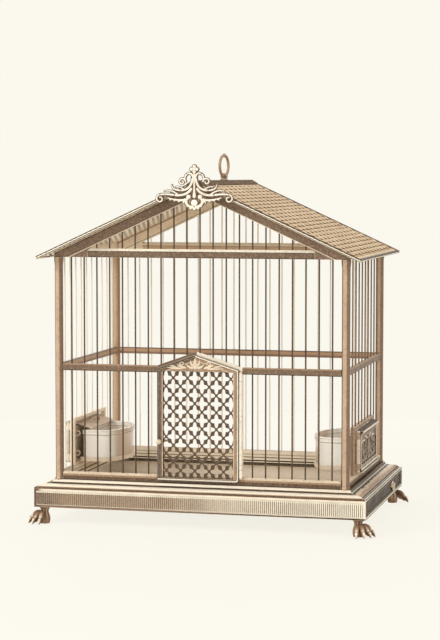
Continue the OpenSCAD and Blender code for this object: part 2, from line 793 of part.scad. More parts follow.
// The fixed surround: two jambs and a gabled header, with the hinge's outer knuckles
module door_surround() {
    lug = 1.5;
    notch = spindle_r + 0.4;
    color(brass) difference() {
        union() {
            upright_sheet(-face_y, -wall_y + rail_t / 2) difference() {
                polygon([
                    [-surround_x, sill_top], [surround_x, sill_top], [surround_x, header_top(surround_x)],
                    [peak_x, header_top(peak_x)], [-surround_x, header_top(-surround_x)]
                ]);
                polygon([
                    [-jamb_x, sill_top - 1], [jamb_x, sill_top - 1],
                    [jamb_x, door_line(jamb_x) - header_down], [peak_x, leaf_peak - header_down],
                    [-jamb_x, door_line(-jamb_x) - header_down]
                ]);
            }
            for (z = [knuckle_low, knuckle_high - knuckle_h]) {
                translate([door_pin_x, door_pin_y, z]) cylinder(r = knuckle_r, h = knuckle_h);
                bar_x(door_pin_x - lug, surround_x, door_pin_y, -face_y + 1, z, z + knuckle_h);
            }
        }
        translate([door_pin_x, door_pin_y, leaf_foot]) cylinder(r = door_pin_r + pin_gap, h = door_h);
        bar_x(latch_x - notch - 0.2, -jamb_x + 1, -face_y - 1, -wall_y + rail_t,
            latch_z - notch, latch_z + notch);
        front_holes_header();
    }
}

// Sockets in the sloping header for the wires that stand above the door
module front_holes_header() {
    for (x = front_wires) if (over_door(x))
        translate([x, -wall_y, header_top(x) - socket_h]) cylinder(r = wire_r + seat_gap, h = 9, $fn = 16);
}

module door_hinge_pin() {
    z0 = knuckle_low - 1.2;
    z1 = knuckle_high + 1.2;
    color(pale_brass) translate([door_pin_x, door_pin_y, z0]) {
        cylinder(r = door_pin_r, h = z1 - z0);
        cylinder(r = knuckle_r - 0.3, h = 1.2 - seat_gap);
        translate([0, 0, z1 - z0 - 1.2 + seat_gap]) cylinder(r = knuckle_r - 0.3, h = 1.2);
    }
}

// The leaf's frame, with a raised bead round its edge, a filled gable and the long hinge barrel
module door_frame() {
    rebate = leaf_back - grille_t;
    lap = 1.2;
    z0 = knuckle_low + knuckle_h + play;
    z1 = knuckle_high - knuckle_h - play;
    color(brass) difference() {
        union() {
            upright_sheet(leaf_front, leaf_back) polygon(leaf_outline(0));
            upright_sheet(leaf_front - bead_h, leaf_front + 0.2) difference() {
                polygon(leaf_outline(0));
                polygon(leaf_outline(bead_w));
            }
            translate([door_pin_x, door_pin_y, z0]) cylinder(r = knuckle_r, h = z1 - z0);
            bar_x(leaf_right - 1, door_pin_x, leaf_front, leaf_front + 1.4, z0, z1);
        }
        bar_x(window_left, window_right, leaf_front - 2, leaf_back + 1, window_low, window_high);
        bar_x(window_left - lap, window_right + lap, rebate, leaf_back + 1,
            window_low - lap, window_high + lap);
        translate([door_pin_x, door_pin_y, z0 - 1]) cylinder(r = door_pin_r + pin_gap, h = z1 - z0 + 2);
        translate([latch_x, leaf_back + 1, latch_z]) rotate([90, 0, 0])
            cylinder(r = spindle_r + pin_gap, h = door_t + 3);
        upright_sheet(leaf_front - 2, leaf_front + 0.5) gable_leaf();
    }
}

// Sunk leaf in the door's gable: three pointed lobes
module gable_leaf() {
    for (a = [-66, 0, 66]) translate([peak_x, leaf_shoulder - 0.4]) rotate(a) {
        lobe = a == 0 ? door_rise * 0.66 : door_rise * 1.2;
        polygon([[-0.6, 1], [-2.2, lobe * 0.45], [0, lobe], [2.2, lobe * 0.45], [0.6, 1]]);
    }
}

// One opening of the grille: a cross with four arms that taper in two steps
module cross_opening() {
    quarter = [
        [0.424, 0], [0.37, 0.075], [0.266, 0.115], [0.145, 0.132], [0.125, 0.255], [0.089, 0.365], [0, 0.42]
    ];
    right = [for (p = quarter) [p[0] * cross_w, p[1] * cross_h]];
    upper = concat(right, [for (i = [5:-1:0]) [-right[i][0], right[i][1]]]);
    polygon(concat(upper, [for (i = [11:-1:1]) [upper[i][0], -upper[i][1]]]));
}

// Pierced sheet in the leaf's rebate, with crosses in staggered rows
module door_grille() {
    lap = 1.1;
    border = 1.6;
    left = window_left - lap;
    low = window_low - lap;
    wide = window_right + lap - left;
    high = window_high + lap - low;
    rows = round(high / (cross_h / 2));
    columns = ceil(wide / cross_w);
    color(dark_brass)
        upright_sheet(leaf_back - grille_t + 0.02, leaf_back - 0.02) difference() {
            translate([left, low]) square([wide, high]);
            intersection() {
                translate([left + border, low + border]) square([wide - 2 * border, high - 2 * border]);
                for (j = [0:rows], i = [-1:columns]) {
                    across = window_left + (0.22 + i + (j % 2) / 2) * cross_w;
                    up = low + high / 2 + (j - rows / 2) * cross_h / 2;
                    translate([across, up]) cross_opening();
                }
            }
        }
}

// Turn latch: the knob outside turns a tongue, which passes the jamb's notch and catches behind the jamb
module door_latch() {
    back = -wall_y + rail_t / 2 + play;
    color(pale_brass) translate([latch_x, 0, latch_z]) {
        translate([0, back, 0]) rotate([90, 0, 0]) cylinder(r = spindle_r, h = back - leaf_front + 2);
        translate([0, leaf_front - bead_h - play, 0]) rotate([90, 0, 0]) cylinder(r = 1.9, h = 0.8);
        translate([0, leaf_front - bead_h - play - 0.5 - knob_r, 0]) sphere(r = knob_r);
        translate([-spindle_r, back, -spindle_r]) cube([spindle_r + tongue_len, tongue_t, 2 * spindle_r]);
    }
}

// Feeders, drawn for the right-hand side; side(-1) mirrors them to the left

module side(sx) {
    mirror([sx < 0 ? 1 : 0, 0, 0]) children();
}

feeder_knuckle_h = 7;
feeder_z0 = flap_foot + 1;
feeder_z1 = flap_top - 1.5;

// Frame of the feeder's opening, with the hinge's fixed knuckles and the spring clips
module feeder_frame(sx) {
    prong = 0.8;
    color(brass) side(sx) difference() {
        union() {
            difference() {
                bar_x(wall_x - rail_t / 2, face_x, frame_front, frame_back, sill_top, frame_top);
                bar_x(wall_x - rail_t, face_x + 1, open_front, open_back, open_low, open_high);
            }
            for (z = [feeder_z0, feeder_z1 - feeder_knuckle_h]) {
                translate([feeder_pin_x, feeder_pin_y, z]) cylinder(r = barrel_r, h = feeder_knuckle_h);
                bar_x(face_x - 1, feeder_pin_x, feeder_pin_y - 1.7, feeder_pin_y + 0.9,
                    z, z + feeder_knuckle_h);
            }
            for (z = [flap_foot + 8, flap_top - 16], s = [-1, 1]) {
                y = rod_y + s * (rod_r + play + prong / 2);
                bar_x(face_x - 1, rod_x + rod_r, y - prong / 2, y + prong / 2, z, z + 4);
            }
        }
        translate([feeder_pin_x, feeder_pin_y, feeder_z0 - 1])
            cylinder(r = feeder_pin_r + pin_gap, h = feeder_z1 - feeder_z0 + 2);
        side_holes(1, open_high + 1, frame_top + 1, [for (y = side_wires) if (over_feeder(y)) y]);
    }
}

module feeder_frame_left() { feeder_frame(-1); }
module feeder_frame_right() { feeder_frame(1); }

module feeder_pin(sx) {
    color(pale_brass) side(sx) translate([feeder_pin_x, feeder_pin_y, feeder_z0 - 1.2]) {
        cylinder(r = feeder_pin_r, h = feeder_z1 - feeder_z0 + 2.4);
        cylinder(r = barrel_r - 0.3, h = 1.2 - seat_gap);
        translate([0, 0, feeder_z1 - feeder_z0 + 1.2 + seat_gap]) cylinder(r = barrel_r - 0.3, h = 1.2);
    }
}

module feeder_pin_left() { feeder_pin(-1); }
module feeder_pin_right() { feeder_pin(1); }

// Raised vase between two scrolls, drawn in Y and Z about the middle of the flap
module vase_relief() {
    offset(r = 0.3, $fn = 8) {
        polygon([
            [-5, -13], [5, -13], [3, -10.5], [2, -8.5], [7.5, -3], [8, 2], [4, 6], [3, 8.5],
            [6, 11.5], [-6, 11.5], [-3, 8.5], [-4, 6], [-8, 2], [-7.5, -3], [-2, -8.5], [-3, -10.5]
        ]);
        for (s = [-1, 1]) {
            stroke([for (p = spiral(18, 3, 7, 1.6, 200, 420, 18)) [s * p[0], p[1]]], 1.8, 1.2);
            stroke([for (p = spiral(31, -4, 7, 1.6, 100, -420, 18)) [s * p[0], p[1]]], 1.8, 1.2);
            stroke([for (p = curve([8, -6], [20, -14], [42, -11])) [s * p[0], p[1]]], 2, 1.2);
        }
    }
}

// The flap: a shallow box with a sunk panel, a cornice, a stepped foot, knuckles and the clip rod
module feeder_flap(sx) {
    z0 = feeder_z0 + feeder_knuckle_h + play;
    z1 = feeder_z1 - feeder_knuckle_h - play;
    cornice = 5;
    panel_in = 5;
    middle = (flap_foot + flap_top) / 2 - 1;
    rod_low = flap_foot + 3;
    rod_high = flap_top - 7;
    color(brass) side(sx) difference() {
        union() {
            difference() {
                bar_x(flap_in, flap_out, flap_front, flap_back, flap_foot, flap_top - 1);
                bar_x(flap_out - 1.2, flap_out + 1, flap_front + panel_in, flap_back - panel_in,
                    flap_foot + 6, flap_top - 8);
            }
            translate([0, -feeder_shift, flap_top]) along_y(flap_w) polygon([
                [flap_in, -cornice], [flap_out + 0.6, -cornice], [flap_out + 1, -3.6],
                [flap_out + 2.6, -2.6], [flap_out + 2.6, -1], [flap_in, 0]
            ]);
            translate([0, -feeder_shift, 0]) along_y(flap_w) polygon([
                [flap_in, flap_foot - 1.5], [flap_out + 2, flap_foot - 1.5], [flap_out + 2, flap_foot],
                [flap_out + 1, flap_foot + 1], [flap_out + 1, flap_foot + 2.4], [flap_in, flap_foot + 3]
            ]);
            translate([flap_out - 1.3, -feeder_shift, middle]) rotate([90, 0, 90])
                linear_extrude(height = 1.3) scale(flap_w / 110) vase_relief();
            translate([feeder_pin_x, feeder_pin_y, z0]) cylinder(r = barrel_r, h = z1 - z0);
            bar_x(feeder_pin_x - 1, feeder_pin_x + 1, feeder_pin_y, flap_front + 1, z0, z1);
            translate([rod_x, rod_y, rod_low]) cylinder(r = rod_r, h = rod_high - rod_low);
            for (z = [rod_low, rod_high]) translate([rod_x, rod_y, z]) sphere(r = rod_r + 0.7);
            for (z = [rod_low + 11.5, rod_high - 15.5])
                bar_x(rod_x - 0.8, rod_x + 0.8, flap_back - 1, rod_y, z, z + 3);
        }
        translate([feeder_pin_x, feeder_pin_y, z0 - 1]) cylinder(r = feeder_pin_r + pin_gap, h = z1 - z0 + 2);
    }
}

module feeder_flap_left() { feeder_flap(-1); }
module feeder_flap_right() { feeder_flap(1); }

// Plan of the cup, drawn in X and Y: a flat back, straight sides and a bowed, rounded inner end
module cup_plan(grow) {
    half = cup_w / 2 - cup_corner;
    deep = cup_depth - cup_corner;
    bow_r = (half * half + cup_bow * cup_bow) / (2 * cup_bow);
    bow_angle = asin(half / bow_r);
    middle = cup_front + cup_w / 2;
    tip = cup_flat - deep;
    offset(r = cup_corner + grow, $fn = 40) intersection() {
        polygon(concat(
            [[cup_flat + 20, middle - half], [cup_flat + 20, middle + half]],
            [for (k = [6:-1:-6]) let (a = bow_angle * k / 6)
                [tip + bow_r - bow_r * cos(a), middle + bow_r * sin(a)]]
        ));
    }
}

// The plan cut off square at the flat back of the cup
module cup_solid(grow, back, z0, z1) {
    translate([0, 0, z0]) linear_extrude(height = z1 - z0) intersection() {
        cup_plan(grow);
        translate([back - 2 * cup_depth, cup_front - cup_w / 2]) square([2 * cup_depth, 2 * cup_w]);
    }
}

// Opal cup with a thick rolled rim
module feeder_cup(sx) {
    top = cup_foot + cup_h;
    rim_h = 5;
    color(opal) side(sx) difference() {
        union() {
            cup_solid(-1, cup_flat - 0.2, cup_foot + seat_gap, top - 1);
            cup_solid(0, cup_flat - 0.2, top - rim_h, top);
        }
        cup_solid(-1 - cup_wall, cup_flat - cup_wall, cup_foot + 3, top + 1);
    }
}

module feeder_cup_left() { feeder_cup(-1); }
module feeder_cup_right() { feeder_cup(1); }

// Bracket on the back of the flap: a plate, a rimmed shelf for the cup, and two rings at its front edge
module cup_holder(sx) {
    rim = 3.4;
    low = cup_foot - 1;
    plate_in = flap_in - 1.4;
    ring_big = 2.6;
    ring_y = cup_front + 3;
    color(brass) side(sx) {
        bar_x(plate_in, flap_in, cup_front + 2, cup_front + cup_w - 2, low, open_high - 6);
        bar_x(cup_flat - 1, flap_in, cup_front + 2, cup_front + cup_w - 2, low, cup_foot);
        difference() {
            cup_solid(0.3, cup_flat + 1, low, cup_foot + rim);
            cup_solid(-1 + 0.2, cup_flat, cup_foot, cup_foot + rim + 1);
        }
        for (z = [low + 8, open_high - 14])
            translate([plate_in - ring_big + 0.4, ring_y, z]) rotate([90, 0, 0])
                rotate_extrude() translate([ring_big, 0]) circle(r = 0.8, $fn = 16);
    }
}

module cup_holder_left() { cup_holder(-1); }
module cup_holder_right() { cup_holder(1); }

// Sloping guard over the cup's outer part, with a low arched handle of wire
module seed_guard(sx) {
    low = cup_foot + cup_h + 0.8;
    high = open_high - 3;
    tip = cup_flat - 0.25 * cup_depth;
    arch_x = cup_flat - 2;
    arch_half = 0.13 * cup_w;
    arch_r = 3;
    arch_top = open_high - 1.4;
    wire = 0.8;
    color(brass) side(sx) translate([0, cup_front + cup_w / 2, 0]) {
        along_y(cup_w - 6) polygon([
            [tip, low], [flap_in, high], [flap_in, high + 1], [tip, low + 1]
        ]);
        translate([arch_x, 0, arch_top - arch_r]) {
            for (s = [-1, 1]) {
                translate([0, s * arch_half, 0]) rotate([90, 0, 90 + 90 * (1 - s)])
                    rotate_extrude(angle = 90) translate([arch_r, 0]) circle(r = wire);
                translate([0, s * (arch_half + arch_r), -3]) cylinder(r = wire, h = 3);
            }
            translate([0, arch_half, arch_r]) rotate([90, 0, 0]) cylinder(r = wire, h = 2 * arch_half);
        }
    }
}

module seed_guard_left() { seed_guard(-1); }
module seed_guard_right() { seed_guard(1); }

// Sand tray

// Open pan with a turned-out rim
module tray_pan() {
    top = tray_foot + tray_h;
    color(zinc) difference() {
        bar_x(tray_left, tray_right, -tray_y, tray_y, tray_foot, top);
        bar_x(tray_left + tray_t, tray_right - tray_t, -tray_y + tray_t, tray_y - tray_t,
            tray_foot + tray_t, top + 1);
    }
}

// Front of the tray, with a raised border, which closes the slot in the base
module tray_front() {
    y = slot_y - play;
    z0 = slot_low + play;
    z1 = slot_high - play;
    out = base_w / 2 + 0.4;
    border = 2.2;
    color(dark_brass) difference() {
        bar_x(tray_right + 0.05, out, -y, y, z0, z1);
        bar_x(out - 1, out + 1, -y + 2 * border, y - 2 * border, z0 + border, z1 - border);
    }
}

// Cast pull: a shaped plate with two scrolls and a hanging loop
module tray_pull() {
    shift = 50;
    out = base_w / 2 - 0.6 + 0.05;
    mid = (slot_low + slot_high) / 2;
    color(pale_brass) translate([out, shift, mid]) {
        rotate([90, 0, 90]) linear_extrude(height = 1) offset(r = 0.4, $fn = 8)
            polygon([[-10, 0], [-6, 2.2], [-3, 3.6], [0, 4.4], [3, 3.6], [6, 2.2], [10, 0],
                [6, -1.4], [2, -2.4], [0, -3.6], [-2, -2.4], [-6, -1.4]]);
        for (s = [-1, 1]) {
            translate([1.6, s * 5.2, 0.4]) sphere(r = 1.5);
            translate([0.5, s * 8.6, 0]) rotate([0, 90, 0]) cylinder(r = 1.3, h = 1.3);
        }
        translate([2, 0, 0.4]) rotate([-90, 0, 90]) rotate_extrude(angle = 180)
            translate([5.2, 0]) circle(r = 0.9);
    }
}

plinth_front();
plinth_back();
plinth_left();
plinth_right();
reeded_bands();
base_plate();
foot_front_left();
foot_front_right();
foot_back_left();
foot_back_right();
foot_nuts();
post_front_left();
post_front_right();
post_back_left();
post_back_right();
bottom_rail_front();
bottom_rail_back();
bottom_rail_left();
bottom_rail_right();
mid_rail_front();
mid_rail_back();
mid_rail_left();
mid_rail_right();
wires_front();
wires_back();
wires_left();
wires_right();
tie_beam_front();
tie_beam_back();
eave_rail_left();
eave_rail_right();
rafters_front();
rafters_back();
roof_left();
roof_right();
ridge_cap();
gable_crest();
ring_saddle();
carrying_ring();
door_surround();
door_hinge_pin();
door_frame();
door_grille();
door_latch();
feeder_frame_left();
feeder_frame_right();
feeder_pin_left();
feeder_pin_right();
feeder_flap_left();
feeder_flap_right();
cup_holder_left();
cup_holder_right();
seed_guard_left();
seed_guard_right();
feeder_cup_left();
feeder_cup_right();
tray_pan();
tray_front();
tray_pull();
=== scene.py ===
import json

import bmesh
import bpy
import numpy as np
from mathutils import Matrix


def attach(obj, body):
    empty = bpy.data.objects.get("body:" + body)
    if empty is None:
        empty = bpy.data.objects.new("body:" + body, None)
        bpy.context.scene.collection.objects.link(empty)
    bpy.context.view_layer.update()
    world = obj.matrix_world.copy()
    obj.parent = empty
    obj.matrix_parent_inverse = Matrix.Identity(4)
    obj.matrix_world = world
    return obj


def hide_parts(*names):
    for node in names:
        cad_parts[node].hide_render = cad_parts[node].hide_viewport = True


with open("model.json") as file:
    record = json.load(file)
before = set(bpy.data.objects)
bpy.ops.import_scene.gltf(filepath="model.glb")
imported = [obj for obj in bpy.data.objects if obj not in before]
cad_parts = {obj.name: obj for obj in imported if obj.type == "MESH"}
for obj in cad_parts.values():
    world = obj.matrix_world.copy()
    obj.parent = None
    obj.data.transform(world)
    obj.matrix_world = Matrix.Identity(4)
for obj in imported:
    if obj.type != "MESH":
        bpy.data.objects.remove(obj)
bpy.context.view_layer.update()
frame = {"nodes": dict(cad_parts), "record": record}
nodes = frame["nodes"]
print("loaded the cage:", len(nodes), "nodes")

# Camera, lamps and paper

view = {
    "place": (0.5117, -2.0688, 0.3630),  # metres, in front of the cage and to its right
    "turn": 14.01,  # degrees to the left of straight on
    "down": 4.16,  # degrees
    "lens": 112.13,  # for the 440 x 640 frame
}

room = {
    "paper": (0.965, 0.939, 0.855, 1),  # cream of the floor and backdrop
    "sky": (1.0, 0.985, 0.96, 1),  # light from all around
    "skyStrength": 0.72,
    "near": 0.35,  # metres from the cage, where the floor starts to fade into the backdrop
    "far": 0.9,
    "nearGlow": 0.88,  # share of its own light near the cage, where the rest takes the shadow
    "shaded": (0.93, 0.9, 0.83, 1),
    "floorHalf": 6.0,
}

lamps = [
    {"name": "windowLamp", "place": (-1.5, -1.9, 1.7), "size": 1.3, "watts": 38},
    {"name": "fillLamp", "place": (1.9, -1.3, 1.1), "size": 1.6, "watts": 10},
    {"name": "backLamp", "place": (-0.3, 1.9, 1.6), "size": 1.5, "watts": 16},
]


def addCamera(v):
    # the camera looks along ahead, with side to its right and above over it
    yaw, down = np.radians(v["turn"]), np.radians(v["down"])
    ahead = np.array([-np.sin(yaw) * np.cos(down), np.cos(yaw) * np.cos(down), -np.sin(down)])
    side = np.array([np.cos(yaw), np.sin(yaw), 0.0])
    above = np.cross(side, ahead)
    data = bpy.data.cameras.new("camera")
    data.lens = v["lens"]
    data.clip_end = 50
    camera = bpy.data.objects.new("camera", data)
    turned = Matrix(np.array([side, above, -ahead]).T.tolist()).to_4x4()
    camera.matrix_world = Matrix.Translation(v["place"]) @ turned
    bpy.context.scene.collection.objects.link(camera)
    bpy.context.scene.camera = camera


def addLamps(rows):
    # each lamp is a square that faces the middle of the cage
    middle = np.array([0.0, 0.0, 0.19])
    for row in rows:
        data = bpy.data.lights.new(row["name"], "AREA")
        data.size = row["size"]
        data.energy = row["watts"]
        lamp = bpy.data.objects.new(row["name"], data)
        back = np.array(row["place"]) - middle
        back = back / np.linalg.norm(back)
        side = np.cross([0, 0, 1], back)
        side = side / np.linalg.norm(side)
        turned = Matrix(np.array([side, np.cross(back, side), back]).T.tolist()).to_4x4()
        lamp.matrix_world = Matrix.Translation(row["place"]) @ turned
        bpy.context.scene.collection.objects.link(lamp)


def addNode(tree, kind, sockets=None, **settings):
    # a node whose sockets take either a value or another node's output
    made = tree.nodes.new(kind)
    for name, value in settings.items():
        setattr(made, name, value)
    for name, value in (sockets or {}).items():
        if isinstance(value, bpy.types.NodeSocket):
            tree.links.new(value, made.inputs[name])
        else:
            made.inputs[name].default_value = value
    return made


def math2(tree, operation, a, b=0.0, clamp=False):
    # one step of arithmetic on a and b
    return addNode(tree, "ShaderNodeMath", {0: a, 1: b}, operation=operation, use_clamp=clamp).outputs[0]


def seenDirectly(tree):
    # 1 for what the camera sees directly, in a mirror or through glass
    path = addNode(tree, "ShaderNodeLightPath")
    most = math2(tree, "MAXIMUM", path.outputs["Is Camera Ray"], path.outputs["Is Glossy Ray"])
    return math2(tree, "MAXIMUM", most, path.outputs["Is Transmission Ray"])


def setWorld(r):
    # paper where it is seen directly, and soft sky for everything that it lights
    world = bpy.data.worlds.new("paper")
    world.use_nodes = True
    tree = world.node_tree
    tree.nodes.clear()
    sky = addNode(tree, "ShaderNodeBackground", {"Color": r["sky"], "Strength": r["skyStrength"]})
    paper = addNode(tree, "ShaderNodeBackground", {"Color": r["paper"], "Strength": 1.0})
    seen = seenDirectly(tree)
    mix = addNode(tree, "ShaderNodeMixShader", {0: seen, 1: sky.outputs[0], 2: paper.outputs[0]})
    addNode(tree, "ShaderNodeOutputWorld", {"Surface": mix.outputs[0]})
    bpy.context.scene.world = world


def addFloor(r):
    # a flat sheet whose own light fades in with distance, so that it has no edge against the backdrop
    half = r["floorHalf"]
    mesh = bpy.data.meshes.new("floor")
    corners = [(-half, -half, 0), (half, -half, 0), (half, half, 0), (-half, half, 0)]
    mesh.from_pydata(corners, [], [(0, 1, 2, 3)])
    floor = bpy.data.objects.new("floor", mesh)
    bpy.context.scene.collection.objects.link(floor)
    made = bpy.data.materials.new("floorPaper")
    made.use_nodes = True
    tree = made.node_tree
    tree.nodes.clear()
    place = addNode(tree, "ShaderNodeTexCoord").outputs["Object"]
    reach = addNode(tree, "ShaderNodeVectorMath", {0: place}, operation="LENGTH").outputs["Value"]
    away = addNode(tree, "ShaderNodeMapRange", {"Value": reach, "From Min": r["near"], "From Max": r["far"],
                                                "To Min": 0.0, "To Max": 1.0})
    glow = addNode(tree, "ShaderNodeEmission", {"Color": r["paper"], "Strength": 1.0})
    lit = addNode(tree, "ShaderNodeBsdfDiffuse", {"Color": r["shaded"]})
    share = math2(tree, "MAXIMUM", r["nearGlow"], away.outputs[0])
    share = math2(tree, "MULTIPLY", share, seenDirectly(tree))
    mix = addNode(tree, "ShaderNodeMixShader", {0: share, 1: lit.outputs[0], 2: glow.outputs[0]})
    addNode(tree, "ShaderNodeOutputMaterial", {"Surface": mix.outputs[0]})
    mesh.materials.append(made)


addCamera(view)
addLamps(lamps)
setWorld(room)
addFloor(room)
bpy.context.scene.view_settings.view_transform = "Standard"
print("camera and lamps are up")

# Finishes

inks = {  # the plate's own tones
    "cream": (0.92, 0.84, 0.68),
    "pale": (0.76, 0.62, 0.45),
    "sand": (0.56, 0.385, 0.25),
    "copper": (0.40, 0.255, 0.155),
    "mauve": (0.25, 0.165, 0.115),
    "umber": (0.14, 0.088, 0.055),
    "ink": (0.055, 0.031, 0.018),
}

# top of the slopes in mm, their fall, and its cosine
roofLine = {"ridge": 356.3, "fall": 78 / 170, "square": 0.9089}

rollRows = {  # rolled edges of the roof, by depth in mm under the sheets' upper side
    "front": [(0.1, "ink"), (1.1, "cream"), (1.9, "ink"), (6, "cream")],
    "back": [(1.6, "umber"), (6, "sand")],
    "startsY": 118.8,  # mm from the cage's middle
    "startsX": 166.2,
}

hatching = {  # strokes on the roof's underside
    "pitch": 5.4, "turn": 0.26,  # mm between strokes, and how far they slant
    "dark": "umber", "plain": (0.86, 0.73, 0.55),
    "fadeFrom": -20, "fadeTo": 100,  # mm from the cage's middle, towards the back
}

reeds = {
    "pitch": 2.1, "half": 172.2, "endHalf": 115.5,  # mm along the front, and along an end
    "middle": 27.2, "reach": 6.1,  # height of the reeds' middle, and how far they go up and down from it
    "face": 174.4,  # beyond it lie the ends' reeds
    # shades: painted light and shade, darker at the left end and paler to the right
    "shades": [(0.0, "mauve"), (0.03, "mauve"), (0.1, (0.42, 0.29, 0.185)), (0.42, (0.5, 0.36, 0.24)),
               (0.6, (0.84, 0.72, 0.56)), (1.0, "cream")],
}

outlines = {  # mm: where bands start that follow a piece's own edge
    "post": {"apart": 303.0},
    "flap": {"front": -55.3, "back": 44.7, "low": 58.0, "high": 100.5},
    "door": {"left": -44.2, "right": 41.8, "low": 49.5,
             "slopes": [(0.337, -0.94, 169.9), (-0.30, -0.954, 169.95)]},  # depth under each: a x + b z + c
}

# each row of bands gives the place in mm where a band ends, and its colour
plinthRows = [(19.5, "ink"), (36.9, "cream"), (37.5, "sand"), (39.2, "ink"), (39.9, "sand"),
              (42.0, "cream"), (43.6, "ink"), (46.2, "cream")]
plinthEndRows = [(18.9, "ink"), (20.4, "cream"), (36.2, "umber"), (37.6, "cream"), (38.6, "ink"),
                 (39.3, "cream"), (40.4, "ink"), (41.8, "copper"), (42.3, "pale"), (43.0, "ink"),
                 (43.5, "cream"), (46.2, (0.10, 0.065, 0.04))]
# across a corner post from its left: a dark edge, a painted highlight, then painted shade down its right
# side
postRows = [(-2.9, "umber"), (1.3, (0.56, 0.40, 0.27)), (5, (0.25, 0.155, 0.10))]
backPostRows = [(-2.9, "umber"), (2.2, (0.56, 0.385, 0.24)), (5, "copper")]
backSillRows = [(46.9, "copper"), (49.2, "cream"), (50.2, "sand"), (54.0, "cream"), (54.8, "sand")]
backMidRows = [(163.0, (0.30, 0.19, 0.13)), (166.5, (0.56, 0.36, 0.22)), (167.7, "umber")]
backTieRows = [(279.4, "umber"), (282.9, (0.66, 0.47, 0.31)), (283.7, "copper"), (287.8, "cream")]
sillRows = [(50.2, "umber"), (52.2, "copper"), (54.8, "pale")]
midRows = [(161.3, "ink"), (166.4, (0.2, 0.13, 0.085)), (167.7, "copper")]
# the front tie beam's cream top band is a painted highlight on its bevel
tieRows = [(279.2, "ink"), (284.2, (0.19, 0.125, 0.08)), (284.9, "ink"), (287.8, "cream")]
rafterRows = [(2.4, "pale"), (3.3, "ink"), (11.2, "mauve"), (11.7, "ink"), (12.9, "pale"), (30, "mauve")]
# the back rafters' pale cream rows are painted light that offsets the shade they lie in under the roof
backRafterRows = [(2.6, "sand"), (10.6, (0.96, 0.82, 0.64)), (11.4, "copper"), (13.0, "cream"),
                  (30, (0.96, 0.82, 0.64))]
doorRows = [(1.6, "ink"), (4.7, (0.19, 0.12, 0.08)), (5.3, "pale"), (40, "copper")]
doorLitRows = [(-0.2, "cream"), (0.4, "ink"), (1.8, "cream"), (2.3, "ink"), (4.8, "copper"),
               (5.3, "pale"), (40, "copper")]
# the door's surround is umber left of the door's middle, as painted shade, and cream to its right, as a
# painted highlight
jambRows = [(-46.6, "ink"), (-3.0, "umber"), (47.4, "cream"), (50.0, "ink")]
flapRows = [(-0.3, "pale"), (1.0, "ink"), (2.8, "cream"), (3.6, "ink"), (5.0, "sand"), (6.2, "ink"),
            (40, "mauve")]

plinthPaintedShade = [  # painted shade: a darker colour that fades along x from one place to the other, in mm, below a height, on the left of the plinth's bottom band and at its left end
    {"from": -60, "to": 60, "under": 20.9, "colour": "mauve"},
    {"from": -171, "to": -166, "under": 37.4, "colour": "umber"},
]
flapPaintedLight = [{"from": -155.2, "to": -155.6, "under": 200, "colour": "cream"}]

# the door's right half and its foot have bands with a painted highlight along their edges, as if lit from
# the lower right
doorLit = {"rows": doorLitRows, "rightOf": -4.0, "under": 51.4}
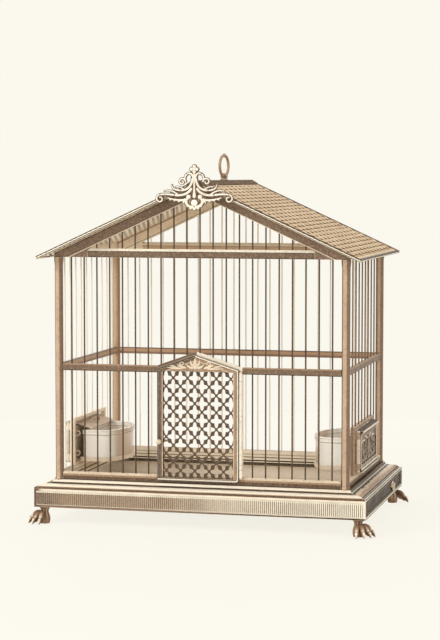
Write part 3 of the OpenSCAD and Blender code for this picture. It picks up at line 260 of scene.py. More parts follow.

# shade fills the hollows as patina and painted shade, light is the rubbed edge with a painted highlight,
# body is the flat metal where no rows of bands, hatching or reeds give it, and reach is how far in metres
# the patina and painted shade creep out of a hollow
brassTones = {
    "plinthBrass": {"shade": "copper", "light": "cream", "rough": 0.45, "grain": 0.5, "fleck": 0.12,
                    "along": "z", "rows": plinthRows, "lightShadeFades": plinthPaintedShade},
    # darker rows than the front's: painted shade on the end that faces away from the light
    "plinthEnd": {"shade": "ink", "light": "cream", "rough": 0.45, "grain": 0.5, "fleck": 0.3,
                  "along": "z", "rows": plinthEndRows},
    "reedCopper": {"shade": "ink", "light": "cream", "rough": 0.5, "grain": 0.4, "fleck": 0.2,
                   "reeds": reeds},
    # pale cream body: painted light that offsets the shade under the roof
    "traySteel": {"shade": "pale", "body": (0.93, 0.84, 0.71), "light": "cream", "rough": 0.5,
                  "grain": 0.6, "fleck": 0.1},
    "postCopper": {"shade": "umber", "light": "pale", "rough": 0.4, "grain": 0.35, "fleck": 0.2,
                   "along": "post", "rows": postRows},
    "backCopper": {"shade": "copper", "light": "pale", "rough": 0.45, "grain": 0.35, "fleck": 0.15,
                   "along": "post", "rows": backPostRows},
    "backSill": {"shade": "copper", "light": "cream", "rough": 0.45, "grain": 0.3, "fleck": 0.1,
                 "along": "z", "rows": backSillRows},
    "backMid": {"shade": "umber", "light": "pale", "rough": 0.45, "grain": 0.3, "fleck": 0.1,
                "along": "z", "rows": backMidRows},
    "backTie": {"shade": "copper", "light": "pale", "rough": 0.45, "grain": 0.3, "fleck": 0.1,
                "along": "z", "rows": backTieRows},
    "sillUmber": {"shade": "ink", "light": "pale", "rough": 0.45, "grain": 0.4, "fleck": 0.3,
                  "along": "z", "rows": sillRows},
    "midUmber": {"shade": "ink", "light": "sand", "rough": 0.45, "grain": 0.4, "fleck": 0.3, "along": "z",
                 "rows": midRows},
    "tieUmber": {"shade": "ink", "light": "cream", "rough": 0.45, "grain": 0.4, "fleck": 0.35,
                 "along": "z", "rows": tieRows},
    "rafterMauve": {"shade": "ink", "light": "pale", "rough": 0.45, "grain": 0.6, "fleck": 0.4,
                    "along": "roof", "rows": rafterRows},
    "rafterPale": {"shade": "copper", "light": "cream", "rough": 0.45, "grain": 0.4, "fleck": 0.2,
                   "along": "roof", "rows": backRafterRows},
    "wireUmber": {"shade": "ink", "body": (0.09, 0.055, 0.034), "light": "copper", "rough": 0.4,
                  "grain": 0.2, "fleck": 0.2},
    "wireEnd": {"shade": "ink", "body": (0.22, 0.14, 0.085), "light": "sand", "rough": 0.4, "grain": 0.2,
                "fleck": 0.2},
    "wirePale": {"shade": "pale", "body": (0.94, 0.88, 0.76), "light": "cream", "rough": 0.4,
                 "grain": 0.2, "fleck": 0.0},
    "roofSheet": {"shade": "copper", "light": "cream", "rough": 0.45, "grain": 0.5, "fleck": 0.15,
                  "hatch": hatching},
    "ridgeUmber": {"shade": "ink", "body": (0.17, 0.112, 0.074), "light": "sand", "rough": 0.85,
                   "grain": 0.4, "fleck": 0.4},
    "crestDark": {"shade": "ink", "body": "umber", "light": "mauve", "rough": 0.5, "grain": 0.6,
                  "fleck": 0.2},
    "crestPale": {"shade": "umber", "body": (0.93, 0.86, 0.72), "light": "cream", "rough": 0.4,
                  "grain": 0.5, "fleck": 0.1, "reach": 0.0008},
    "ringBrass": {"shade": "umber", "body": (0.44, 0.30, 0.19), "light": "cream", "rough": 0.35,
                  "grain": 0.25, "fleck": 0.2},
    "doorBrass": {"shade": "ink", "light": "cream", "rough": 0.45, "grain": 0.4, "fleck": 0.3,
                  "along": "door", "rows": doorRows, "lit": doorLit},
    "jambBrass": {"shade": "sand", "light": "cream", "rough": 0.45, "grain": 0.4, "fleck": 0.15,
                  "along": "x", "rows": jambRows},
    "grilleUmber": {"shade": "ink", "body": (0.10, 0.064, 0.04), "light": "copper", "rough": 0.45,
                    "grain": 0.4, "fleck": 0.2},
    "pinBrass": {"shade": "umber", "body": "pale", "light": "cream", "rough": 0.3, "grain": 0.2,
                 "fleck": 0.1},
    "feederBrass": {"shade": "ink", "body": (0.42, 0.28, 0.18), "light": "cream", "rough": 0.42,
                    "grain": 0.5, "fleck": 0.35},
    "flapBrass": {"shade": "ink", "light": "cream", "rough": 0.42, "grain": 0.5, "fleck": 0.35,
                  "along": "flap", "rows": flapRows},
    "leafBrass": {"shade": "umber", "body": (0.84, 0.70, 0.52), "light": "cream", "rough": 0.4,
                  "grain": 0.4, "fleck": 0.2, "reach": 0.001},
    # pale body and short reach: painted light that brightens the left feeder's frame and the cup holders,
    # in shade
    "feederPale": {"shade": "sand", "body": (0.90, 0.76, 0.58), "light": "cream", "rough": 0.42,
                   "grain": 0.5, "fleck": 0.25, "reach": 0.001},
    "lidBrass": {"shade": "umber", "light": "cream", "rough": 0.42, "grain": 0.5, "fleck": 0.15,
                 "along": "lid", "rows": [(0, "pale"), (1, "copper")]},
    "reliefBrass": {"shade": "umber", "body": "cream", "light": "cream", "rough": 0.4, "grain": 0.4,
                    "fleck": 0.15, "reach": 0.001},
    # near-black body: painted shade of the plinth's right end, where the drawer front sits
    "drawerUmber": {"shade": "ink", "body": (0.05, 0.03, 0.018), "light": "pale", "rough": 0.5,
                    "grain": 0.4, "fleck": 0.3},
}

# the left flap is seen from inside the cage, where its inner face gets a painted light cream that offsets
# the shade it lies in
brassTones["flapInner"] = {**brassTones["flapBrass"], "lightShadeFades": flapPaintedLight}

opal = {
    "glaze": ((0.97, 0.90, 0.78), (1.0, 0.97, 0.89)),  # its warm and its cool cloud
    # mm from the cage's middle, at the inner end of a cup
    "shadeFrom": 115.0, "shadeTo": 111.0, "shade": (0.62, 0.43, 0.28),
    "foot": 58.55, "high": 32.4,
    # share of the height, and how brown the glaze is from there up
    "lines": [(0.0, 0.7), (0.03, 0.0), (0.825, 0.55), (0.85, 0.0), (0.955, 0.5), (0.975, 0.0)],
    "line": (0.30, 0.19, 0.12), "hollow": (0.55, 0.38, 0.24),
}


def tone(value):
    # a colour of the table above, or three numbers
    return [*(inks[value] if isinstance(value, str) else value), 1.0]


def twoProducts(tree, a, b, c, d):
    # a times b, plus c times d
    return math2(tree, "ADD", math2(tree, "MULTIPLY", a, b), math2(tree, "MULTIPLY", c, d))


def spread(tree, value, low, high, start=0.0, end=1.0):
    # runs evenly from start, where the value is low, to end, where it is high, and holds still beyond them
    return addNode(tree, "ShaderNodeMapRange", {"Value": value, "From Min": low, "From Max": high,
                                                "To Min": start, "To Max": end}).outputs[0]


def mixed(tree, share, under, over, blend="MIX"):
    # the under colour times what is left of the share, plus the over colour times the share
    return addNode(tree, "ShaderNodeMix", {"Factor": share, 6: under, 7: over}, data_type="RGBA",
                   blend_type=blend).outputs[2]


def noise(tree, place, scale, detail, rough=0.5):
    # cloudy value from 0 to 1, finer the larger the scale
    settings = {"Vector": place, "Scale": scale, "Detail": detail, "Roughness": rough}
    return addNode(tree, "ShaderNodeTexNoise", settings).outputs[0]


def objectPlace(tree):
    # x, y and z of the piece's own place, in metres
    return addNode(tree, "ShaderNodeTexCoord").outputs["Object"]


def inMillimetres(tree):
    # x, y and z of the piece's own place, times a thousand
    big = addNode(tree, "ShaderNodeVectorMath", {0: objectPlace(tree), 1: (1000.0, 1000.0, 1000.0)},
                  operation="MULTIPLY")
    return addNode(tree, "ShaderNodeSeparateXYZ", {0: big.outputs[0]}).outputs


def newFinish(name):
    # a finish with its node tree and its main shader
    made = bpy.data.materials.new(name)
    made.use_nodes = True
    return made, made.node_tree, made.node_tree.nodes["Principled BSDF"]


def roughen(tree, bsdf, height, strength, distance):
    # small bumps that tilt the surface where the height changes
    bump = addNode(tree, "ShaderNodeBump", {"Height": height, "Strength": strength, "Distance": distance})
    tree.links.new(bump.outputs[0], bsdf.inputs["Normal"])


def insideOf(tree, *pairs):
    # how far in from its outline a point lies: the least of the differences within the pairs
    least = math2(tree, "SUBTRACT", *pairs[0])
    for pair in pairs[1:]:
        least = math2(tree, "MINIMUM", least, math2(tree, "SUBTRACT", *pair))
    return least


def bandPlace(tree, along):
    # the way in mm that bands are laid along: z and x are plain, post is across a corner post, flap and
    # door are in from the outline, lid is a slanting wave, and roof is the depth square to the slopes
    x, y, z = inMillimetres(tree)
    if along in ("x", "z"):
        return {"x": x, "z": z}[along]
    edge = outlines.get(along)
    if along == "post":
        right = math2(tree, "GREATER_THAN", x, 0.0)
        moved = math2(tree, "SUBTRACT", x, math2(tree, "MULTIPLY", right, edge["apart"]))
        return math2(tree, "ADD", moved, edge["apart"] / 2)
    if along == "flap":
        return insideOf(tree, (y, edge["front"]), (edge["back"], y), (z, edge["low"]), (edge["high"], z))
    if along == "lid":
        return math2(tree, "SINE", twoProducts(tree, x, 1.1, y, 1.6))
    if along == "door":
        heads = [(twoProducts(tree, x, a, z, b), -c) for a, b, c in edge["slopes"]]
        return insideOf(tree, (x, edge["left"]), (edge["right"], x), *heads, (z, edge["low"]))
    level = math2(tree, "MULTIPLY", math2(tree, "ABSOLUTE", x), -roofLine["fall"])
    level = math2(tree, "ADD", level, roofLine["ridge"])
    return math2(tree, "MULTIPLY", math2(tree, "SUBTRACT", level, z), roofLine["square"])


def bandColour(tree, along, rows, cloud):
    # flat bands with crisp, slightly wavering edges
    low, high = rows[0][0] - 10.0, rows[-1][0]
    waver = spread(tree, cloud, 0.3, 0.7, -0.12, 0.12)
    place = math2(tree, "ADD", bandPlace(tree, along), waver)
    ramp = addNode(tree, "ShaderNodeValToRGB", {0: spread(tree, place, low, high)})
    stops = ramp.color_ramp
    stops.interpolation = "CONSTANT"
    stops.elements[0].color = tone(rows[0][1])
    stops.elements.remove(stops.elements[1])
    for (edge, _), (_, name) in zip(rows[:-1], rows[1:]):
        stops.elements.new((edge - low) / (high - low)).color = tone(name)
    return ramp.outputs[0]


def hatchColour(tree, hatch):
    # the sheet is plain outside, its underside has strokes where a sine of the slanted place is high, which
    # fade towards the back, and its rolled edges have bands of their own
    x, y, _ = inMillimetres(tree)
    across = math2(tree, "ADD", x, math2(tree, "MULTIPLY", y, hatch["turn"]))
    wave = math2(tree, "SINE", math2(tree, "MULTIPLY", across, 2 * np.pi / hatch["pitch"]))
    fade = spread(tree, y, hatch["fadeFrom"], hatch["fadeTo"], 1.0, 0.35)
    stroke = spread(tree, wave, -0.1, 0.4)
    normal = addNode(tree, "ShaderNodeNewGeometry").outputs["Normal"]
    facing = addNode(tree, "ShaderNodeSeparateXYZ", {0: normal})
    under = math2(tree, "LESS_THAN", facing.outputs[2], -0.3)
    share = math2(tree, "MULTIPLY", math2(tree, "MULTIPLY", stroke, fade), under)
    sheet = mixed(tree, share, tone(hatch["plain"]), tone(hatch["dark"]))
    front = math2(tree, "LESS_THAN", y, -rollRows["startsY"])
    eave = math2(tree, "GREATER_THAN", math2(tree, "ABSOLUTE", x), rollRows["startsX"])
    back = math2(tree, "GREATER_THAN", y, rollRows["startsY"])
    sheet = mixed(tree, math2(tree, "MAXIMUM", front, eave), sheet,
                  bandColour(tree, "roof", rollRows["front"], stroke))
    return mixed(tree, back, sheet, bandColour(tree, "roof", rollRows["back"], stroke))


def reedColour(tree, r):
    # painted shade in the grooves between reeds and a painted highlight on their backs, by a cosine along
    # the base, and painted light and shade that make the whole paler from the left end to the right by the
    # table's shades
    x, y, z = inMillimetres(tree)
    end = math2(tree, "GREATER_THAN", math2(tree, "ABSOLUTE", x), r["face"])
    along = twoProducts(tree, math2(tree, "ADD", x, r["half"]), math2(tree, "SUBTRACT", 1.0, end),
                        math2(tree, "ADD", y, r["endHalf"]), end)
    wave = math2(tree, "COSINE", math2(tree, "MULTIPLY", along, 2 * np.pi / r["pitch"]))
    ramp = addNode(tree, "ShaderNodeValToRGB", {0: spread(tree, x, -175.0, 175.0)})
    stops = ramp.color_ramp
    stops.elements[0].color = tone(r["shades"][0][1])
    stops.elements[1].color = tone(r["shades"][-1][1])
    for at, colour in r["shades"][1:-1]:
        stops.elements.new(at).color = tone(colour)
    # painted shade in the grooves, painted highlight on the reeds' backs
    groove = mixed(tree, 0.72, ramp.outputs[0], tone("ink"))
    reeded = mixed(tree, spread(tree, wave, -0.1, 0.75), ramp.outputs[0], groove)
    rise = math2(tree, "ABSOLUTE", math2(tree, "SUBTRACT", z, r["middle"]))
    return mixed(tree, math2(tree, "GREATER_THAN", rise, r["reach"]), reeded, tone("cream"))


def bodyColour(tree, t, cloud):
    # the flat metal: hatching, reeds, one colour, or bands with their painted light and shade along x and
    # the door's painted highlight on its edges
    if "hatch" in t:
        return hatchColour(tree, t["hatch"])
    if "reeds" in t:
        return reedColour(tree, t["reeds"])
    if "rows" not in t:
        return tone(t["body"])
    body = bandColour(tree, t["along"], t["rows"], cloud)
    x, _, z = inMillimetres(tree)
    # painted light and shade that fade along x below a height
    for paintedPatch in t.get("lightShadeFades", ()):
        share = spread(tree, x, paintedPatch["from"], paintedPatch["to"], 1.0, 0.0)
        share = math2(tree, "MULTIPLY", share, math2(tree, "LESS_THAN", z, paintedPatch["under"]))
        body = mixed(tree, share, body, tone(paintedPatch["colour"]))
    # painted highlight on the door's right half and its foot
    if "lit" in t:
        right = math2(tree, "GREATER_THAN", x, t["lit"]["rightOf"])
        bright = math2(tree, "MAXIMUM", right, math2(tree, "LESS_THAN", z, t["lit"]["under"]))
        body = mixed(tree, bright, body, bandColour(tree, t["along"], t["lit"]["rows"], cloud))
    return body


def brassFinish(name, t):
    # patina and painted shade gather where surfaces meet, edges are rubbed bright and carry a painted
    # highlight, and noises cloud and fleck the rest
    made, tree, bsdf = newFinish(name)
    place = objectPlace(tree)
    cloud = noise(tree, place, 55.0, 5.0, 0.6)
    speck = noise(tree, place, 900.0, 3.0, 0.7)
    fleck = noise(tree, place, 420.0, 4.0, 0.75)
    shade = tone(t["shade"])
    colour = mixed(tree, spread(tree, cloud, 0.38, 0.7, 0.0, 0.22), bodyColour(tree, t, cloud), shade)
    darkFlecks = spread(tree, fleck, 0.53, 0.62, 0.0, t["fleck"])
    colour = mixed(tree, darkFlecks, colour, tone((0.35, 0.3, 0.26)), "MULTIPLY")
    lightFlecks = spread(tree, fleck, 0.47, 0.38, 0.0, t["fleck"])
    colour = mixed(tree, lightFlecks, colour, tone((0.4, 0.31, 0.2)), "SCREEN")
    # patina and painted shade, darkest deep in the hollows
    hollow = addNode(tree, "ShaderNodeAmbientOcclusion", {"Distance": t.get("reach", 0.0022)}, samples=6)
    deep = spread(tree, hollow.outputs["AO"], 0.3, 0.85, 0.9, 0.0)
    colour = mixed(tree, deep, colour, shade)
    # rubbed edges with a painted highlight, where the bevelled normal turns away from the plain one
    bevel = addNode(tree, "ShaderNodeBevel", {"Radius": 0.0005}, samples=6)
    straight = addNode(tree, "ShaderNodeNewGeometry").outputs["Normal"]
    faced = {0: bevel.outputs[0], 1: straight}
    same = addNode(tree, "ShaderNodeVectorMath", faced, operation="DOT_PRODUCT").outputs["Value"]
    edge = spread(tree, same, 0.985, 0.86)
    rubbedAndHighlit = math2(tree, "MULTIPLY", edge, math2(tree, "ADD", speck, 0.35, True))
    rubbedAndHighlit = math2(tree, "MULTIPLY", rubbedAndHighlit, math2(tree, "SUBTRACT", 1.0, deep, True))
    tree.links.new(mixed(tree, rubbedAndHighlit, colour, tone(t["light"])), bsdf.inputs["Base Color"])
    dull = t["rough"] > 0.7
    bsdf.inputs["Metallic"].default_value = 0.0 if dull else 0.1
    bsdf.inputs["Specular IOR Level"].default_value = 0.03 if dull else 0.2
    rough = spread(tree, cloud, 0.2, 0.8, t["rough"] - 0.08, t["rough"] + 0.14)
    tree.links.new(rough, bsdf.inputs["Roughness"])
    roughen(tree, bsdf, speck, 0.25 * t["grain"], 0.0004)
    return made


def opalFinish(name, o):
    # white glaze with a faint warm cloud, shaded towards the cage's middle and in its hollows, with thin
    # brown lines at the foot, under the rim and in its groove
    made, tree, bsdf = newFinish(name)
    place = objectPlace(tree)
    cloud = noise(tree, place, 40.0, 4.0)
    x, _, z = inMillimetres(tree)
    colour = mixed(tree, cloud, tone(o["glaze"][0]), tone(o["glaze"][1]))
    near = math2(tree, "ADD", math2(tree, "ABSOLUTE", x), math2(tree, "MULTIPLY", cloud, 4.0))
    inner = spread(tree, near, o["shadeFrom"], o["shadeTo"], 0.0, 0.75)
    colour = mixed(tree, inner, colour, tone(o["shade"]))
    high = math2(tree, "MULTIPLY", math2(tree, "SUBTRACT", z, o["foot"]), 1 / o["high"])
    ramp = addNode(tree, "ShaderNodeValToRGB", {0: high})
    stops = ramp.color_ramp
    stops.interpolation = "CONSTANT"
    for stop, (at, deep) in zip(stops.elements, o["lines"][:2]):
        stop.position = at
        stop.color = (deep, deep, deep, 1)
    for at, deep in o["lines"][2:]:
        stops.elements.new(at).color = (deep, deep, deep, 1)
    colour = mixed(tree, ramp.outputs[0], colour, tone(o["line"]))
    hollow = addNode(tree, "ShaderNodeAmbientOcclusion", {"Distance": 0.008}, samples=6)
    deep = spread(tree, hollow.outputs["AO"], 0.2, 0.75, 0.55, 0.0)
    tree.links.new(mixed(tree, deep, colour, tone(o["hollow"])), bsdf.inputs["Base Color"])
    bsdf.inputs["Roughness"].default_value = 0.16
    bsdf.inputs["Coat Weight"].default_value = 0.4
    bsdf.inputs["Coat Roughness"].default_value = 0.08
    roughen(tree, bsdf, noise(tree, place, 120.0, 2.0), 0.06, 0.0005)
    return made


def toneFinish(name, shades):
    # the piece's tone attribute runs from painted shade in hollows, under edges and down sides, through the
    # plain metal to painted highlights on rims and ridges
    made, tree, bsdf = newFinish(name)
    place = objectPlace(tree)
    own = addNode(tree, "ShaderNodeAttribute", attribute_name="tone").outputs["Fac"]
    waver = spread(tree, noise(tree, place, 60.0, 5.0, 0.6), 0.3, 0.7, -0.12, 0.12)
    ramp = addNode(tree, "ShaderNodeValToRGB", {0: math2(tree, "ADD", own, waver, True)})
    stops = ramp.color_ramp
    stops.elements[0].color = tone(shades[0])
    stops.elements[1].color = tone(shades[2])
    stops.elements.new(0.45).color = tone(shades[1])
    tree.links.new(ramp.outputs[0], bsdf.inputs["Base Color"])
    bsdf.inputs["Specular IOR Level"].default_value = 0.03
    bsdf.inputs["Roughness"].default_value = 0.75
    roughen(tree, bsdf, noise(tree, place, 900.0, 3.0, 0.7), 0.12, 0.0004)
    return made


finishes = {name: brassFinish(name, tones) for name, tones in brassTones.items()}
finishes["opalGlaze"] = opalFinish("opalGlaze", opal)
finishes["roofScale"] = toneFinish("roofScale", ("ink", (0.5, 0.32, 0.18), (0.9, 0.74, 0.5)))
finishes["footBrass"] = toneFinish("footBrass", ("ink", (0.34, 0.21, 0.13), "cream"))

finishOf = {  # finish of each slot of the record
    "base_brass": "plinthBrass", "reeds": "reedCopper", "zinc": "traySteel", "feet": "footBrass",
    "posts": "postCopper", "rails": "midUmber", "wires": "wireUmber", "roof": "roofSheet",
    "ridge": "ridgeUmber", "crest": "crestDark", "ring": "ringBrass", "door": "doorBrass",
    "grille": "grilleUmber", "pins": "pinBrass", "feeders": "feederBrass", "cups": "opalGlaze",
    "tray_front": "drawerUmber", "tray_pull": "pinBrass",
}

ownFinish = {  # nodes that differ from the rest of their slot
    "plinth_right": "plinthEnd", "post_back_left": "backCopper", "wires_back": "wirePale",
    "wires_left": "wirePale", "bottom_rail_front": "sillUmber", "bottom_rail_right": "sillUmber",
    "bottom_rail_left": "backSill", "bottom_rail_back": "backSill", "mid_rail_back": "backMid",
    "mid_rail_left": "backMid", "tie_beam_front": "tieUmber", "tie_beam_back": "backTie",
    "rafters_front": "rafterMauve", "rafters_back": "rafterPale", "eave_rail_left": "feederPale",
    "eave_rail_right": "ridgeUmber", "wires_right": "wireEnd", "door_surround": "jambBrass",
    "feeder_frame_left": "feederPale", "feeder_flap_left": "flapInner", "feeder_flap_right": "flapBrass",
    "cup_holder_left": "feederPale", "cup_holder_right": "feederPale", "seed_guard_left": "lidBrass",
    "seed_guard_right": "lidBrass", "foot_nuts": "pinBrass",
}

for row in frame["record"]["subparts"]:
    shown = nodes[row["node"]]
    shown.data.materials.clear()
    shown.data.materials.append(finishes[ownFinish.get(row["node"], finishOf[row["material_slot"]])])
print("finishes are on")

# Shapes shared by the pieces below


def gridCells(rows, columns):
    # corners of the cells of a grid of points that closes on itself along each row
    i, j = np.meshgrid(np.arange(rows - 1), np.arange(columns), indexing="ij")
    k = (j + 1) % columns
    here, above = i * columns, (i + 1) * columns
    return np.stack([here + j, here + k, above + k, above + j], -1).reshape(-1, 4)


def addPiece(name, shells, body, finish, stands=(), tones=None):
    # each shell is a stack of closed rings, in mm: neighbours are joined, and the first and last are capped
    points, faces, start = [], [], 0
    for rings in shells:
        rows, columns = rings.shape[:2]
        faces += (gridCells(rows, columns) + start).tolist()
        faces.append(list(range(start, start + columns)))
        faces.append(list(range(start + (rows - 1) * columns, start + rows * columns)))
        points.append(rings.reshape(-1, 3))
        start += rows * columns
    mesh = bpy.data.meshes.new(name)
    mesh.from_pydata((np.concatenate(points) / 1000).tolist(), [], faces)
    if tones is not None:
        marked = mesh.attributes.new("tone", "FLOAT", "POINT")
        marked.data.foreach_set("value", tones.astype(np.float32).ravel())
    work = bmesh.new()
    work.from_mesh(mesh)
    bmesh.ops.recalc_face_normals(work, faces=work.faces)
    work.to_mesh(mesh)
    work.free()
    mesh.polygons.foreach_set("use_smooth", np.ones(len(mesh.polygons), bool))
    mesh.materials.append(finishes[finish])
    piece = bpy.data.objects.new(name, mesh)
    bpy.context.scene.collection.objects.link(piece)
    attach(piece, body)
    if stands:
        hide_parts(*stands)
    return piece


def unit(v):
    # each vector over its own length
    return v / np.linalg.norm(v, axis=-1, keepdims=True)


def bend(a, b, c, count=22):
    # smooth curve from a to c that b pulls towards itself
    t = np.linspace(0, 1, count)[:, None]
    return (1 - t) ** 2 * np.array(a) + 2 * t * (1 - t) * np.array(b) + t ** 2 * np.array(c)


def curl(x, z, r0, r1, a0, turn, count=40):
    # spiral about (x, z): its radius and its angle both change evenly
    t = np.linspace(0, 1, count)
    r, a = r0 + (r1 - r0) * t, np.radians(a0 + turn * t)
    return np.stack([x + r * np.cos(a), z + r * np.sin(a)], 1)


def halfRound(path, w0, w1, lift, shape=None):
    # strip along a flat path with round ends: half an ellipse across, w0 to w1 wide and lift times half
    # that high; its points are (along, up, height), and its base lies 0.4 mm deep
    steps = np.linalg.norm(np.diff(path, axis=0), axis=1)
    gone = np.concatenate([[0], np.cumsum(steps)])
    share = gone / gone[-1]
    half = (w0 + (w1 - w0) * share) / 2
    if shape is not None:
        half = half * shape(share)
    near = np.minimum(gone, gone[-1] - gone) / np.maximum(half, 0.05)
    half = half * np.sqrt(np.clip(1 - np.clip(1 - near, 0, 0.98) ** 2, 0.01, 1))
    ahead = unit(np.gradient(path, axis=0))
    aside = np.stack([-ahead[:, 1], ahead[:, 0]], 1)
    angle = np.linspace(-np.pi / 2, np.pi / 2, 9)
    flat = path[:, None] + (half[:, None] * np.sin(angle))[..., None] * aside[:, None]
    height = lift * half[:, None] * np.cos(angle)
    height[:, [0, -1]] = -0.4
    return np.concatenate([flat, height[..., None]], 2)


def dome(x, z, r, high, sides=20):
    # low round boss: a quarter ellipse turned about its middle, on a base 0.4 mm deep
    rise = np.array([0, 0, 0.3, 0.6, 0.9, 1.2, 1.45])
    reach, up = r * np.cos(rise), high * np.sin(rise)
    up[0] = -0.4
    angle = np.linspace(0, 2 * np.pi, sides, endpoint=False)
    ring = np.stack([x + reach[:, None] * np.cos(angle), z + reach[:, None] * np.sin(angle)], -1)
    return np.concatenate([ring, np.broadcast_to(up[:, None, None], ring.shape[:2] + (1,))], 2)


def spindle(share):
    # pointed at both ends, fullest before the middle
    return np.sin(np.pi * share ** 0.75) + 0.04


def roundTube(path, wide, tall, across, sides=14):
    # at each point of the path an ellipse, wide along across and tall square to it
    ahead = unit(np.gradient(path, axis=0))
    side = unit(across - (ahead @ across)[:, None] * ahead)
    above = np.cross(side, ahead)
    angle = np.linspace(0, 2 * np.pi, sides, endpoint=False)[:, None]
    wide, tall = np.asarray(wide)[:, None, None], np.asarray(tall)[:, None, None]
    return path[:, None] + wide * np.cos(angle) * side[:, None] + tall * np.sin(angle) * above[:, None]


def smoothLine(knots, count):
    # even points of a smooth curve through the knots, by cubic spans between them
    knots = np.array(knots, float)
    padded = np.vstack([2 * knots[0] - knots[1], knots, 2 * knots[-1] - knots[-2]])
    t = np.linspace(0, len(knots) - 1 - 1e-9, count)
    k = t.astype(int)
    u = (t - k)[:, None]
    a, b, c, d = padded[k], padded[k + 1], padded[k + 2], padded[k + 3]
    square, cube = 2 * a - 5 * b + 4 * c - d, 3 * b - a - 3 * c + d
    return 0.5 * (2 * b + (c - a) * u + square * u ** 2 + cube * u ** 3)


# Roof

scales = {
    "row": 7.4, "wide": 19.0, "high": 0.8,  # of one scale, in mm
    "round": 0.96,  # how far the scallops reach into the next row
    "lap": 1.9,  # rows over which a scale's height would run out
    "rim": 0.12, "vein": 0.08,  # how far a scale's edge stands up and its middle line lies in
    "border": 3.4, "borderHigh": 0.45,  # plain rim of the sheet
    "from": 9.4, "to": 166.2, "depth": 238.6,  # what the sheet covers, off the ridge and from front to back
    "step": 0.75,  # between points
}


def scaleSheet(f, sign):
    # rows of half-round scales run along the eaves, each row lapping over the one below it; a point is on
    # the upper row until it passes that row's scalloped edge, and its tone holds a painted shadow below the
    # edge, deepest at the joints, and a painted highlight along each rim
    s = np.arange(f["from"], f["to"] + 0.01, f["step"] * roofLine["square"])
    y = np.arange(-f["depth"] / 2, f["depth"] / 2 + 0.01, f["step"])
    y, x = np.meshgrid(y, s, indexing="ij")
    down = x / roofLine["square"] / f["row"]
    row = np.floor(down)
    column = y / f["wide"] + 0.5 * (row % 2)
    away = 2 * (column - np.round(column))
    edge = row + f["round"] * (1 - away ** 2) ** 0.8
    lower = down > edge
    nextColumn = y / f["wide"] + 0.5 * ((row + 1) % 2)
    nextAway = 2 * (nextColumn - np.round(nextColumn))
    nextEdge = row + 1 + f["round"] * (1 - nextAway ** 2) ** 0.8
    left = np.where(lower, nextEdge, edge) - down
    passed = np.where(lower, down - edge, 9.0)
    height = f["high"] * (1 - left / f["lap"]) + f["rim"] * np.exp(-(left / 0.12) ** 2)
    joint = np.abs(np.where(lower, away, nextAway)) ** 2
    # painted shadow under each scale's edge, wider at the joints, and a painted highlight along its rim
    gloom = (0.7 + 0.3 * joint) * np.exp(-(passed / (0.46 + 0.3 * joint)) ** 4)
    shade = 0.7 + 0.32 * np.exp(-(left / 0.16) ** 2) - gloom
    vein = np.exp(-(np.where(lower, nextAway, away) / 0.12) ** 2)
    height -= f["vein"] * vein
    shade -= 0.12 * vein * (left > 0.25)
    inset = np.minimum.reduce([x - f["from"], f["to"] - x, y + f["depth"] / 2, f["depth"] / 2 - y])
    plain = inset < f["border"]
    height = np.where(plain, f["borderHigh"], height)
    behind = y > f["depth"] / 2 - f["border"]
    rimShade = np.where(behind, 0.04, np.where(inset > f["border"] - 0.9, 0.12, 0.86))
    shade = np.where(plain, rimShade, shade)
    height[[0, -1]] = -0.3
    height[:, [0, -1]] = -0.3
    z = roofLine["ridge"] - roofLine["fall"] * x + height
    top = np.stack([sign * x, y, z], -1)
    base = top[:, [-1, 0]] - [0, 0, 0.4]
    return np.concatenate([top, base], 1), np.concatenate([shade, shade[:, [-1, 0]]], 1)


for name, sign in (("roofScalesLeft", -1), ("roofScalesRight", 1)):
    rings, shade = scaleSheet(scales, sign)
    addPiece(name, [rings], "cage", "roofScale", tones=shade)
print("the roof has its scales")

# Crest

crest = {
    "grown": 81 / 78,  # against the drawn strokes
    "front": -125.05,  # face of the pierced plate
    "share": 0.72,  # width of a stroke against the plate's
    "lift": 0.85,
    "combs": 4,  # small lobes at each side of the foot
}

crestBosses = [  # right half: place to the side and up, radius, height
    (5.8, -14.8, 2.3, 1.35), (0, -20.6, 3.4, 1.5), (0, -26.4, 1.5, 0.8), (0, 12, 1.6, 1.4),
]

crestStrokes = [  # right half: kind, its places, width at the start and at the end
    ("bend", ([0.6, 3], [2.5, 10], [7, 7.4]), 3.2, 2.4),
    ("bend", ([7, 7.4], [10, 5.6], [9.2, 1]), 2.4, 1.8),
    ("curl", (12.2, 0, 3.6, 1.2, 190, -400), 2.3, 1.7),
    ("bend", ([1.5, 4], [2.6, -8.6], [14, -8.4]), 3.4, 2.7),
    ("bend", ([14, -8.4], [22.5, -8.2], [22.6, -2.6]), 2.7, 1.1),
    ("bend", ([9, -8.2], [16, -3.6], [19, -5.2]), 2, 1.1),
    ("bend", ([2.4, -6], [7, -14.5], [20, -13]), 3.6, 2.9),
    ("bend", ([20, -13], [28, -11.6], [34.4, -12.6]), 2.9, 2.4),
    ("curl", (34.4, -16.6, 4, 1.3, 90, -400), 2.3, 1.7),
    ("bend", ([16, -12.6], [24, -6.8], [30.5, -9.2]), 2.2, 1.1),
    ("bend", ([6, -17], [15, -19.5], [27.5, -15.4]), 4, 1.3),
    ("bend", ([0, -25], [8.4, -24.6], [9.6, -16]), 4.2, 3),
]


